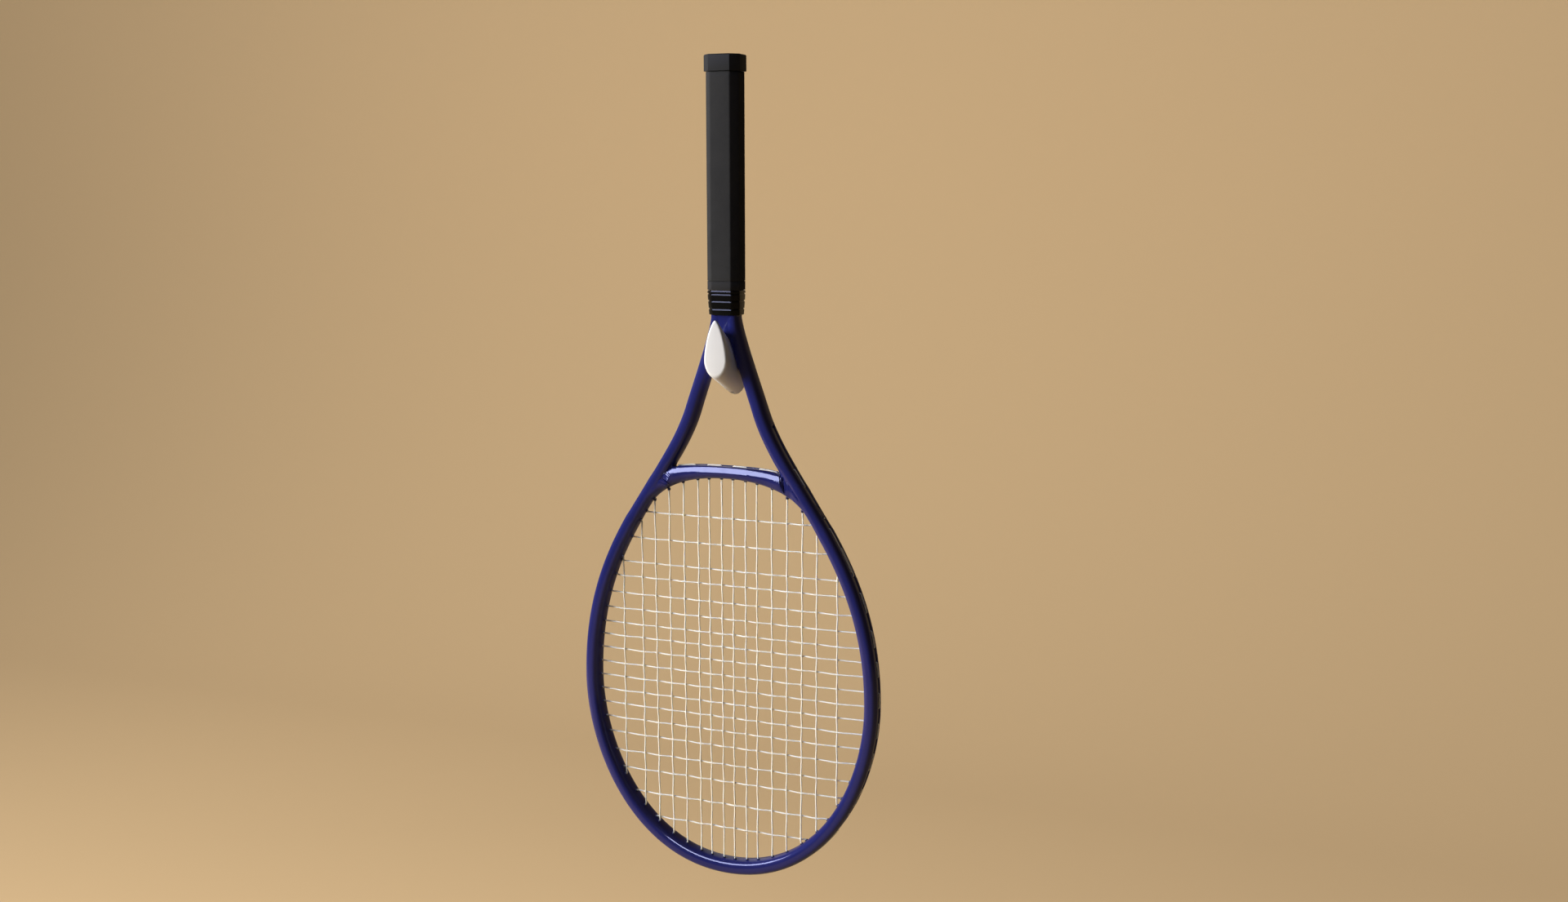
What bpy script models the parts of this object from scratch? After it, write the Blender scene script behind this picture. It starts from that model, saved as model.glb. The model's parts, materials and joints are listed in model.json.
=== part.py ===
"""Teardrop wall peg for a tennis racket, with the racket hung on it by its throat.

World frame: metres, +X right, +Y into the wall, +Z up. The origin is the centre of the
wall bracket's back face, on the wall. The racket hangs handle up, parallel to the wall.
Racket sizes are written as (x, h): x from its centre line, h down from the butt end.
"""

import math

import bmesh
import bpy
import numpy as np
from mathutils import Matrix, Vector

MM = 0.001

# Clearances
SEAT_GAP = 0.3 * MM
HINGE_GAP = 0.3 * MM
CUT_OVER = 2.0 * MM

# Wall peg
PEG_HEIGHT = 47.4 * MM
PEG_WIDTH = 20.6 * MM
PEG_DEPTH = 40.0 * MM
PEG_TOP_TAPER = 0.30
PEG_BULB_HEIGHT = 14.7 * MM
PEG_TIP_BLUNTNESS = 0.62
PEG_FLANK_CURVE = 1.5
PEG_RISE_ANGLE = math.radians(24.7)
PEG_WALL = 2.2 * MM
PEG_EDGE_RADIUS = 2.4 * MM
PEG_SIDE_STEPS = 20
BRACKET_THICKNESS = 12.0 * MM
UPPER_SCREW_Z = 8.0 * MM
LOWER_SCREW_Z = -3.5 * MM
SCREW_RADIUS = 2.0 * MM
SCREW_HEAD_RADIUS = 3.7 * MM
SCREW_HEAD_HEIGHT = 2.4 * MM
SCREW_REACH = 30.0 * MM
SCREW_SLOT = 0.9 * MM
PLUG_WALL = 1.3 * MM
PLUG_SET_BACK = 2.3 * MM
PLUG_LENGTH = 28.0 * MM
LOCK_SCREW_RADIUS = 1.5 * MM
LOCK_SCREW_LENGTH = 7.3 * MM
LOCK_SCREW_Y = -5.0 * MM
INSERT_WALL = 1.0 * MM
INSERT_LENGTH = 3.4 * MM

# Racket outline, on the middle of the beam. Each height hangs on the one above it
COLLAR_H = 185.0 * MM
COLLAR_LENGTH = 20.0 * MM
ARM_START_GAP = 0.9 * MM
ARM_LENGTH = 76.1 * MM
THROAT_LENGTH = 52.6 * MM
HEAD_LENGTH = 344.4 * MM
HEAD_HALF_WIDTH = 127.4 * MM
WIDEST_SHARE = 0.54326
ARM_START_H = COLLAR_H + COLLAR_LENGTH + ARM_START_GAP
ARM_MIDDLE_H = ARM_START_H + ARM_LENGTH
BRIDGE_H = ARM_MIDDLE_H + THROAT_LENGTH
WIDEST_H = BRIDGE_H + WIDEST_SHARE * HEAD_LENGTH
TIP_H = BRIDGE_H + HEAD_LENGTH
RACKET_FROM_WALL = 16.0 * MM
ARM_START_X = 6.5 * MM
ARM_MIDDLE_X = 29.5 * MM
ARM_ANGLE = math.radians(17.8)
ARM_START_PULL = 12.0 * MM
ARM_END_PULL = 14.0 * MM
SHOULDER_PULL = 0.29203 * (WIDEST_H - ARM_MIDDLE_H)
SIDE_PULL_UP = 0.66809 * (WIDEST_H - BRIDGE_H)
SIDE_PULL_DOWN = 0.43865 * (TIP_H - WIDEST_H)
TIP_PULL = 0.66719 * HEAD_HALF_WIDTH
BRIDGE_PULL_SHARE = 0.7219
BRIDGE_END_PULL = 14.0 * MM
BRIDGE_JOIN = 0.464

# Beam section
BEAM_WIDTH = 12.2 * MM
BEAM_DEPTH = 17.5 * MM
BEAM_SQUARENESS = 2.3
ARM_SIZE = 0.90
CHANNEL_START_GAP = 15.0 * MM
ARM_FULL_SIZE_H = ARM_MIDDLE_H + CHANNEL_START_GAP
BEAM_SIDES = 12
BRIDGE_WIDTH = 11.2 * MM
BRIDGE_DEPTH = 16.8 * MM
WEB_DEPTH = 15.0 * MM
WEB_END_DEPTH = 4.0 * MM
WEB_LENGTH = 50.0 * MM
WEB_FULL_SHARE = 0.62
WEB_STEPS = 16
WEB_SINK = 0.4 * MM
THROAT_CLEAR = 0.7 * MM
ARCH_STEPS = 12

# String channel, grommet strips and strings
CHANNEL_WIDTH = 4.6 * MM
THROAT_CHANNEL_WIDTH = 4.7 * MM
CHANNEL_DEPTH = 2.3 * MM
STRIP_THICKNESS = 0.8 * MM
BARREL_WALL = 0.4 * MM
BARREL_STAND_OUT = 0.9 * MM
STRING_RADIUS = 0.65 * MM
STRING_STAGGER = 0.8 * MM
STRING_WEAVE = 1.65 * MM
STRING_TURN = 0.7 * MM
STRING_CLEAR = 0.35 * MM
WEAVE_FROM_END = 4.0 * MM
FOLLOW_STEP = 9.0 * MM
HOLE_SPACING = 4.2 * MM
CHANNEL_START_H = ARM_FULL_SIZE_H
BUMPER_START_SHARE = 0.7619
THROAT_CHANNEL_SHARE = 0.5567
STRIP_JOINT_GAP = 1.0 * MM
# Mains as shares of the head's half width, crosses as shares of its length from the bridge
MAIN_SHARES = [0.04003, 0.12834, 0.20879, 0.31358, 0.41719, 0.52159, 0.62794, 0.77198]
CROSS_SHARES = [
    0.11237, 0.17915, 0.23897, 0.27933, 0.32375, 0.36411, 0.40244, 0.43583, 0.47096, 0.50813,
    0.54384, 0.57985, 0.61556, 0.65244, 0.69193, 0.73897, 0.78339, 0.84292, 0.90447,
]
BRIDGE_MAINS = 4
CORNER_MAIN_OUT_DROPS = [-6.6, 7.4]
CORNER_MOUTH_DROP = 1.5 * MM
BENT_BARREL_END = 1.6 * MM

# Handle
GRIP_WIDTH = 28.5 * MM
GRIP_DEPTH = 23.4 * MM
GRIP_BEVEL = 5.7 * MM
WRAP_THICKNESS = 1.45 * MM
CAP_HEIGHT = 13.0 * MM
CAP_PROUD = 1.3 * MM
CAP_END_WALL = 3.4 * MM
CAP_EDGE = 0.8 * MM
SKIRT_LENGTH = 11.0 * MM
SKIRT_THICKNESS = 1.3 * MM
COLLAR_TOP = (27.6 * MM, 22.6 * MM)
COLLAR_END = (25.8 * MM, 18.8 * MM)
COLLAR_RIB_STARTS = [0.0, 0.135, 0.42, 0.74]
COLLAR_RIB_HEIGHT = 0.55 * MM
COLLAR_BEVEL = 5.2 * MM
PALLET_END_H = COLLAR_H + 3.0 * MM
CORE_H = 27.0 * MM
COMPARTMENT = (15.6 * MM, 10.6 * MM)
CORE_SIZE = (19.0 * MM, 13.0 * MM)
NECK_SIZE = (22.4 * MM, 15.4 * MM)
CORE_BEVEL = 2.6 * MM
TAPE_THICKNESS = 0.5 * MM
TAPE_LENGTH = 7.0 * MM

# Butt compartment and its door
DOOR_OPENING = (15.0 * MM, 10.0 * MM)
DOOR_THICKNESS = 2.0 * MM
DOOR_SINK = 0.3 * MM
DOOR_LEDGE = 1.5 * MM
TRUNNION_RADIUS = 0.6 * MM
TRUNNION_LENGTH = 1.3 * MM
DOOR_NOTCH = 4.5 * MM
STAPLE_H = 18.5 * MM
STAPLE_WIDTH = 6.0 * MM
STAPLE_WIRE = 0.6 * MM
STAPLE_LEG = 3.8 * MM
STAPLE_SPACING = 8.0 * MM
STAPLE_SINK = 0.1 * MM
STAPLE_FIT = 0.15 * MM

PARTS = bpy.data.collections.new("wall_racket_rack")
HELPERS = bpy.data.collections.new("cutters")
COLOURS = {
    "blue_lacquer": ((0.028, 0.030, 0.170), 0.22, 0.0),
    "blue_nylon": ((0.012, 0.013, 0.060), 0.50, 0.0),
    "string_white": ((0.80, 0.80, 0.78), 0.35, 0.0),
    "grip_black": ((0.030, 0.030, 0.030), 0.70, 0.0),
    "cap_black": ((0.030, 0.030, 0.031), 0.55, 0.0),
    "rubber_black": ((0.020, 0.020, 0.020), 0.60, 0.0),
    "tape_black": ((0.015, 0.015, 0.016), 0.45, 0.0),
    "foam": ((0.45, 0.40, 0.30), 0.90, 0.0),
    "peg_white": ((0.80, 0.80, 0.79), 0.40, 0.0),
    "bracket_grey": ((0.30, 0.30, 0.31), 0.60, 0.0),
    "plug_grey": ((0.45, 0.45, 0.44), 0.60, 0.0),
    "steel": ((0.55, 0.55, 0.56), 0.30, 1.0),
    "brass": ((0.62, 0.45, 0.18), 0.35, 1.0),
}


def clear_scene():
    for obj in list(bpy.data.objects):
        bpy.data.objects.remove(obj, do_unlink=True)
    for collection in (PARTS, HELPERS):
        bpy.context.scene.collection.children.link(collection)


def material(name):
    found = bpy.data.materials.get(name)
    if found:
        return found
    colour, roughness, metallic = COLOURS[name]
    made = bpy.data.materials.new(name)
    made.use_nodes = True
    shader = made.node_tree.nodes["Principled BSDF"]
    shader.inputs["Base Color"].default_value = (*colour, 1.0)
    shader.inputs["Roughness"].default_value = roughness
    shader.inputs["Metallic"].default_value = metallic
    made.diffuse_color = (*colour, 1.0)
    return made


def add_object(name, mesh, finish=None, parent=None, smooth=False):
    """Link a mesh as a part, or as a hidden helper when it has no finish."""
    obj = bpy.data.objects.new(name, mesh)
    (PARTS if finish else HELPERS).objects.link(obj)
    obj.parent = parent
    if finish:
        mesh.materials.append(material(finish))
    else:
        obj.hide_render = True
        obj.display_type = "WIRE"
    if smooth:
        mesh.shade_smooth()
        mesh.set_sharp_from_angle(angle=math.radians(35))
    return obj


def mesh_from(bm, name):
    mesh = bpy.data.meshes.new(name)
    bm.to_mesh(mesh)
    bm.free()
    return mesh


def boolean(target, other, operation):
    modifier = target.modifiers.new(f"{operation.lower()} {other.name}", "BOOLEAN")
    modifier.operation = operation
    modifier.object = other
    modifier.solver = "EXACT"


def settle(target):
    """Apply the modifiers so far and clean the result, so that the next cut starts sound."""
    bpy.context.view_layer.update()
    evaluated = target.evaluated_get(bpy.context.evaluated_depsgraph_get())
    mesh = bpy.data.meshes.new_from_object(evaluated)
    bm = bmesh.new()
    bm.from_mesh(mesh)
    bmesh.ops.remove_doubles(bm, verts=bm.verts, dist=1e-6)
    bmesh.ops.dissolve_degenerate(bm, edges=bm.edges, dist=1e-6)
    bmesh.ops.holes_fill(bm, edges=[edge for edge in bm.edges if edge.is_boundary], sides=6)
    bm.to_mesh(mesh)
    bm.free()
    target.modifiers.clear()
    target.data = mesh


def cut(target, *cutters):
    for cutter in cutters:
        boolean(target, cutter, "DIFFERENCE")


def join(target, *others):
    for other in others:
        boolean(target, other, "UNION")


def block(name, size, centre, finish=None, parent=None, bevel=0.0, segments=1):
    """A box whose four upright edges can be cut off (one segment) or rounded."""
    bm = bmesh.new()
    bmesh.ops.create_cube(bm, size=1.0)
    bmesh.ops.scale(bm, vec=Vector(size), verts=bm.verts)
    if bevel:
        upright = [e for e in bm.edges if abs((e.verts[0].co - e.verts[1].co).z) > size[2] / 2]
        bmesh.ops.bevel(bm, geom=upright, offset=bevel, segments=segments,
                        affect="EDGES", profile=0.5)
    bmesh.ops.translate(bm, vec=Vector(centre), verts=bm.verts)
    return add_object(name, mesh_from(bm, name), finish, parent)


def upright_block(name, size, h_from, h_to, finish=None, parent=None, bevel=0.0, segments=1):
    """A block on the racket's axis between two distances from the butt end."""
    centre = (0.0, 0.0, -(h_from + h_to) / 2)
    return block(name, (size[0], size[1], h_to - h_from), centre, finish, parent, bevel, segments)


def cylinder(name, radius, start, end, finish=None, parent=None, sides=16, end_radius=None):
    start, end = Vector(start), Vector(end)
    bm = bmesh.new()
    bmesh.ops.create_cone(bm, cap_ends=True, segments=sides, radius1=radius,
                          radius2=radius if end_radius is None else end_radius,
                          depth=(end - start).length)
    turn = (end - start).to_track_quat("Z", "Y").to_matrix().to_4x4()
    bmesh.ops.transform(bm, matrix=Matrix.Translation((start + end) / 2) @ turn, verts=bm.verts)
    return add_object(name, mesh_from(bm, name), finish, parent, smooth=True)


def solid_of_curve(curve, name, finish, parent, turn=Matrix.Identity(4)):
    """Turn a curve into a closed mesh whose caps are welded to its sides."""
    holder = bpy.data.objects.new(name + "_curve", curve)
    HELPERS.objects.link(holder)
    bpy.context.view_layer.update()
    evaluated = holder.evaluated_get(bpy.context.evaluated_depsgraph_get())
    mesh = bpy.data.meshes.new_from_object(evaluated)
    bpy.data.objects.remove(holder, do_unlink=True)
    bm = bmesh.new()
    bm.from_mesh(mesh)
    bmesh.ops.remove_doubles(bm, verts=bm.verts, dist=1e-6)
    bmesh.ops.transform(bm, matrix=turn, verts=bm.verts)
    bmesh.ops.recalc_face_normals(bm, faces=bm.faces)
    bm.to_mesh(mesh)
    bm.free()
    mesh.name = name
    return add_object(name, mesh, finish, parent, smooth=True)


def round_tubes(name, paths, radius, finish=None, parent=None):
    """One six-sided tube along each path of 3-D points."""
    curve = bpy.data.curves.new(name, "CURVE")
    curve.dimensions = "3D"
    curve.bevel_depth = radius
    curve.bevel_resolution = 1
    curve.use_fill_caps = True
    for path in paths:
        spline = curve.splines.new("POLY")
        spline.points.add(len(path) - 1)
        for point, place in zip(spline.points, path):
            point.co = (*place, 1.0)
    return solid_of_curve(curve, name, finish, parent)


def flat_curve(name, points, cyclic):
    curve = bpy.data.curves.new(name, "CURVE")
    curve.dimensions = "2D"
    curve.fill_mode = "NONE"
    spline = curve.splines.new("POLY")
    spline.points.add(len(points) - 1)
    spline.use_cyclic_u = cyclic
    for point, place in zip(spline.points, points):
        point.co = (*place, 0.0, 1.0)
    return curve


def swept(name, path, section, finish=None, parent=None, sizes=None):
    """Sweep a closed section, given as (outwards, deep) points, along a path of (x, h)."""
    section = [(-outwards, deep) for outwards, deep in section]
    guide = bpy.data.objects.new(name + "_section", flat_curve(name + "_section", section, True))
    HELPERS.objects.link(guide)
    guide.hide_render = True
    curve = flat_curve(name, [(x, -h) for x, h in path], False)
    if sizes is not None:
        curve.splines[0].points.foreach_set("radius", sizes)
    curve.bevel_mode = "OBJECT"
    curve.bevel_object = guide
    curve.use_fill_caps = True
    stand_up = Matrix.Rotation(math.radians(90), 4, "X")
    made = solid_of_curve(curve, name, finish, parent, stand_up)
    bpy.data.objects.remove(guide, do_unlink=True)
    return made


def bezier(start, pull_start, pull_end, end, count):
    """Points of one cubic from start to end, without its last point."""
    start, pull_start, pull_end, end = map(np.array, (start, pull_start, pull_end, end))
    t = np.linspace(0.0, 1.0, count, endpoint=False)[:, None]
    return ((1 - t) ** 3 * start + 3 * (1 - t) ** 2 * t * pull_start
            + 3 * (1 - t) * t ** 2 * pull_end + t ** 3 * end)


def mirrored(points):
    return points * np.array([-1.0, 1.0])


# Outline of the racket

def right_tube_path():
    """Middle of the beam, from the throat down the right side to the tip."""
    slope = np.array([math.sin(ARM_ANGLE), math.cos(ARM_ANGLE)])
    start = np.array([ARM_START_X, ARM_START_H])
    middle = np.array([ARM_MIDDLE_X, ARM_MIDDLE_H])
    widest = np.array([HEAD_HALF_WIDTH, WIDEST_H])
    tip = np.array([0.0, TIP_H])
    down = np.array([0.0, 1.0])
    arm = bezier(start, start + ARM_START_PULL * down, middle - ARM_END_PULL * slope, middle, 9)
    shoulder = bezier(middle, middle + SHOULDER_PULL * slope,
                      widest - SIDE_PULL_UP * down, widest, 20)
    lower = bezier(widest, widest + SIDE_PULL_DOWN * down,
                   tip + np.array([TIP_PULL, 0.0]), tip, 16)
    return np.vstack([arm, shoulder, lower, [tip]])


def shoulder_point(share):
    """Place and direction on the shoulder stretch of the beam."""
    slope = np.array([math.sin(ARM_ANGLE), math.cos(ARM_ANGLE)])
    a = np.array([ARM_MIDDLE_X, ARM_MIDDLE_H])
    d = np.array([HEAD_HALF_WIDTH, WIDEST_H])
    b = a + SHOULDER_PULL * slope
    c = d - np.array([0.0, SIDE_PULL_UP])
    rest = 1 - share
    place = rest ** 3 * a + 3 * rest ** 2 * share * b + 3 * rest * share ** 2 * c + share ** 3 * d
    along = rest ** 2 * (b - a) + 2 * rest * share * (c - b) + share ** 2 * (d - c)
    return place, along / np.linalg.norm(along)


def bridge_path():
    """Middle of the throat bridge, from left to right."""
    end, along = shoulder_point(BRIDGE_JOIN)
    crown = np.array([0.0, BRIDGE_H])
    right = bezier(crown, crown + np.array([BRIDGE_PULL_SHARE * end[0], 0.0]),
                   end - BRIDGE_END_PULL * along, end, 9)
    right = np.vstack([right, [end]])
    return np.vstack([mirrored(right[:0:-1]), right])


def oval_section(width, depth, squareness, sides):
    points = []
    for k in range(sides):
        angle = 2 * math.pi * (k + 0.5) / sides
        c, s = math.cos(angle), math.sin(angle)
        points.append((math.copysign(abs(c) ** (2 / squareness), c) * width / 2,
                       math.copysign(abs(s) ** (2 / squareness), s) * depth / 2))
    return points


def bar_section(inner, outer, width):
    return [(inner, -width / 2), (outer, -width / 2), (outer, width / 2), (inner, width / 2)]


def arm_size(heights):
    """Size of the beam's section as a share of its full size. The arms are slimmer."""
    share = (heights - ARM_START_H) / (ARM_FULL_SIZE_H - ARM_START_H)
    return ARM_SIZE + (1 - ARM_SIZE) * np.clip(share, 0.0, 1.0)


RIGHT_PATH = right_tube_path()
HOOP_PATH = np.vstack([RIGHT_PATH, mirrored(RIGHT_PATH)[-2::-1]])
BRIDGE_PATH = bridge_path()


# Teardrop of the peg

def peg_rise(distance):
    """How far the peg's bottom has risen at a distance from the wall."""
    return distance * math.tan(PEG_RISE_ANGLE)


def peg_height(distance):
    """Height of the peg's outline at a distance from the wall. It grows towards the front."""
    return PEG_HEIGHT - PEG_TOP_TAPER * (PEG_DEPTH - distance)


def peg_bottom(distance):
    return peg_rise(distance) - peg_height(0.0) / 2


def peg_half_width(up, height):
    """Half width of the peg at a distance up from its bottom."""
    up = np.clip(up, 0.0, height)
    to_tip = np.maximum(up - PEG_BULB_HEIGHT, 0.0) / (height - PEG_BULB_HEIGHT)
    below = np.maximum(1.0 - up / PEG_BULB_HEIGHT, 0.0)
    upper = (1.0 - to_tip ** PEG_FLANK_CURVE) ** PEG_TIP_BLUNTNESS
    return PEG_WIDTH / 2 * upper * np.sqrt(np.maximum(1.0 - below ** 2, 0.0))


def teardrop(height, inset):
    """Outline of the peg seen from the front, from its bottom at 0, drawn in by a wall."""
    up = height * (1 + np.cos(np.linspace(0.0, np.pi, 400))) / 2
    right = np.stack([peg_half_width(up, height), up], axis=1)
    ahead = np.gradient(right, axis=0)
    ahead /= np.linalg.norm(ahead, axis=1)[:, None]
    right += inset * np.stack([ahead[:, 1], -ahead[:, 0]], axis=1)
    inside = np.nonzero(right[:, 0] > 1e-6)[0]
    right = right[inside[0] - 1:inside[-1] + 2]
    right[0, 0] = right[-1, 0] = 0.0
    length = np.concatenate([[0.0], np.cumsum(np.linalg.norm(np.diff(right, axis=0), axis=1))])
    steps = np.linspace(0.0, length[-1], PEG_SIDE_STEPS + 1)
    right = np.stack([np.interp(steps, length, right[:, 0]),
                      np.interp(steps, length, right[:, 1])], axis=1)
    return np.vstack([right, mirrored(right[-2:0:-1])])


def peg_solid(name, layers, finish=None):
    """Teardrop layers at (distance from wall, inset), each risen with the peg's slope."""
    bm = bmesh.new()
    rings = []
    for distance, inset in layers:
        bottom = peg_bottom(distance)
        rings.append([bm.verts.new((x, -distance, bottom + up))
                      for x, up in teardrop(peg_height(distance), inset)])
    for near, far in zip(rings, rings[1:]):
        for i in range(len(near)):
            j = (i + 1) % len(near)
            bm.faces.new((near[i], near[j], far[j], far[i]))
    bm.faces.new(rings[0])
    bm.faces.new(rings[-1])
    bmesh.ops.recalc_face_normals(bm, faces=bm.faces)
    return add_object(name, mesh_from(bm, name), finish, smooth=True)


def butt_height():
    """Height of the racket's butt end above the origin, when its throat rests on the peg.

    The smallest gap between the arms and the peg's flanks is SEAT_GAP.
    """
    arm = RIGHT_PATH[:20]
    heights = np.linspace(ARM_START_H, ARM_MIDDLE_H, 120)
    middle = np.interp(heights, arm[:, 1], arm[:, 0])
    lean = np.cos(np.arctan(np.gradient(middle, heights)))
    size = arm_size(heights)
    depths = np.linspace(-0.5, 0.5, 21)[:, None] * BEAM_DEPTH * ARM_SIZE * 0.95
    across = 1 - np.abs(2 * depths / (BEAM_DEPTH * size)) ** BEAM_SQUARENESS
    bulge = np.maximum(across, 0.0) ** (1 / BEAM_SQUARENESS)
    inner = middle - bulge * BEAM_WIDTH / 2 * size / lean
    distance = RACKET_FROM_WALL - depths
    low, high = ARM_START_H, 2 * ARM_START_H
    for _ in range(40):
        butt = (low + high) / 2
        up = butt - heights - peg_bottom(distance)
        tip = peg_height(distance)
        gaps = np.where(up < tip, (inner - peg_half_width(up, tip)) * lean, 1.0)
        if gaps.min() < SEAT_GAP:
            low = butt
        else:
            high = butt
    return high


BUTT_Z = butt_height()


# Wall peg

def make_peg_shell():
    bend = [(PEG_EDGE_RADIUS * (1 - math.sin(a)), PEG_EDGE_RADIUS * (1 - math.cos(a)))
            for a in np.radians([0.0, 30.0, 60.0, 90.0])]
    layers = [(SEAT_GAP, 0.0)] + [(PEG_DEPTH - back, inset) for back, inset in bend]
    shell = peg_solid("peg_shell", layers, "peg_white")
    hollow = peg_solid("peg_hollow", [(-CUT_OVER, PEG_WALL), (PEG_DEPTH - PEG_WALL, PEG_WALL)])
    cut(shell, hollow)
    return shell


def make_wall_bracket():
    inset = PEG_WALL + SEAT_GAP
    bracket = peg_solid("wall_bracket", [(0.0, inset), (BRACKET_THICKNESS, inset)], "bracket_grey")
    for label, z in (("upper", UPPER_SCREW_Z), ("lower", LOWER_SCREW_Z)):
        cut(bracket, cylinder(f"{label}_screw_hole", SCREW_RADIUS + SEAT_GAP,
                              (0, CUT_OVER, z), (0, -BRACKET_THICKNESS - CUT_OVER, z)))
        seat = BRACKET_THICKNESS - SCREW_HEAD_HEIGHT - SEAT_GAP
        cut(bracket, cylinder(f"{label}_screw_seat", SCREW_HEAD_RADIUS + SEAT_GAP,
                              (0, -seat, z), (0, -BRACKET_THICKNESS - 4 * CUT_OVER, z)))
    return bracket


def make_wall_screw(label, z):
    """Pan-head screw with a slotted head, pointed at its inner end."""
    name = f"wall_screw_{label}"
    head_back = BRACKET_THICKNESS - SCREW_HEAD_HEIGHT
    head = cylinder(name, SCREW_HEAD_RADIUS, (0, -head_back, z), (0, -BRACKET_THICKNESS, z),
                    "steel", end_radius=SCREW_HEAD_RADIUS * 0.8)
    shank_end = SCREW_REACH - 3 * SCREW_RADIUS
    shank = cylinder(name + "_shank", SCREW_RADIUS, (0, -head_back - SCREW_HEAD_HEIGHT / 2, z),
                     (0, shank_end, z))
    point = cylinder(name + "_point", SCREW_RADIUS * 0.98, (0, shank_end - SCREW_RADIUS, z),
                     (0, SCREW_REACH, z), end_radius=SCREW_RADIUS * 0.2)
    join(head, shank, point)
    slot = block(name + "_slot", (3 * SCREW_HEAD_RADIUS, SCREW_HEAD_HEIGHT, SCREW_SLOT),
                 (0, -BRACKET_THICKNESS - SCREW_HEAD_HEIGHT * 0.1, z))
    cut(head, slot)
    return head


def make_wall_plug(label, z):
    """Split plastic plug, set a little below the wall's face."""
    name = f"wall_plug_{label}"
    bore = SCREW_RADIUS + SEAT_GAP
    front, back = PLUG_SET_BACK, PLUG_SET_BACK + PLUG_LENGTH
    plug = cylinder(name, bore + PLUG_WALL, (0, front, z), (0, back, z), "plug_grey")
    cut(plug, cylinder(name + "_bore", bore, (0, front - CUT_OVER, z),
                       (0, back + CUT_OVER, z)))
    slit = block(name + "_slit", (4 * bore, PLUG_LENGTH * 0.7, SCREW_SLOT),
                 (0, back - PLUG_LENGTH * 0.3, z))
    cut(plug, slit)
    return plug


def make_lock_screw(bracket, shell):
    """Grub screw up through the shell's underside into a brass insert in the bracket."""
    bottom = peg_bottom(-LOCK_SCREW_Y)
    tip = bottom + LOCK_SCREW_LENGTH
    screw = cylinder("lock_screw", LOCK_SCREW_RADIUS, (0, LOCK_SCREW_Y, bottom + SEAT_GAP),
                     (0, LOCK_SCREW_Y, tip), "steel", sides=12)
    cut(screw, cylinder("lock_screw_socket", LOCK_SCREW_RADIUS * 0.5,
                        (0, LOCK_SCREW_Y, bottom - CUT_OVER),
                        (0, LOCK_SCREW_Y, bottom + LOCK_SCREW_LENGTH * 0.4), sides=6))
    bore = LOCK_SCREW_RADIUS + SEAT_GAP
    reach = peg_rise(bore + INSERT_WALL)
    low = bottom + PEG_WALL + reach + 2 * SEAT_GAP
    top = low + INSERT_LENGTH
    insert = cylinder("threaded_insert", bore + INSERT_WALL, (0, LOCK_SCREW_Y, low),
                      (0, LOCK_SCREW_Y, top), "brass", sides=12)
    cut(insert, cylinder("insert_bore", bore, (0, LOCK_SCREW_Y, bottom - CUT_OVER),
                         (0, LOCK_SCREW_Y, top + CUT_OVER), sides=12))
    cut(shell, cylinder("shell_lock_hole", bore, (0, LOCK_SCREW_Y, bottom - 2 * CUT_OVER),
                        (0, LOCK_SCREW_Y, bottom + 2 * PEG_WALL), sides=12))
    cut(bracket, cylinder("bracket_insert_hole", bore + INSERT_WALL + SEAT_GAP,
                          (0, LOCK_SCREW_Y, bottom - 2 * CUT_OVER),
                          (0, LOCK_SCREW_Y, top + SEAT_GAP), sides=12))


# Beams, string holes and strings

class Beam:
    """A run of beam. Its places are a length along it and an offset out from its middle."""

    def __init__(self, path):
        self.path = path
        steps = np.diff(path, axis=0)
        lengths = np.linalg.norm(steps, axis=1)
        steps = steps / lengths[:, None]
        along = np.vstack([steps[:1], steps[:-1] + steps[1:], steps[-1:]])
        along /= np.linalg.norm(along, axis=1)[:, None]
        self.outward = np.stack([along[:, 1], -along[:, 0]], axis=1)
        self.length = np.concatenate([[0.0], np.cumsum(lengths)])

    def place(self, s, offset):
        edge = self.path + offset * self.outward
        return np.array([np.interp(s, self.length, edge[:, 0]),
                         np.interp(s, self.length, edge[:, 1])])

    def where(self, axis, value, offset, start, end):
        """Length between start and end at which the offset edge reaches an x (0) or an h (1)."""
        lengths = np.linspace(start, end, 300)
        reached = np.array([self.place(s, offset)[axis] for s in lengths])
        order = np.argsort(reached)
        return float(np.interp(value, reached[order], lengths[order]))

    def follow(self, start, end, offset):
        """Places between two lengths, without the two ends."""
        count = int(abs(end - start) // FOLLOW_STEP)
        return [self.place(s, offset) for s in np.linspace(start, end, count + 2)[1:-1]]

    def stretch(self, start, end):
        """The path between two lengths."""
        inside = self.path[(self.length > start) & (self.length < end)]
        return np.vstack([self.place(start, 0.0), inside, self.place(end, 0.0)])


HOOP = Beam(HOOP_PATH)
BRIDGE = Beam(BRIDGE_PATH)
TIP_LENGTH = HOOP.length[len(RIGHT_PATH) - 1]
WIDEST_LENGTH = HOOP.where(1, WIDEST_H, 0.0, 0.0, TIP_LENGTH)
HALF_BRIDGE = BRIDGE.length[-1] / 2


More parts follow.
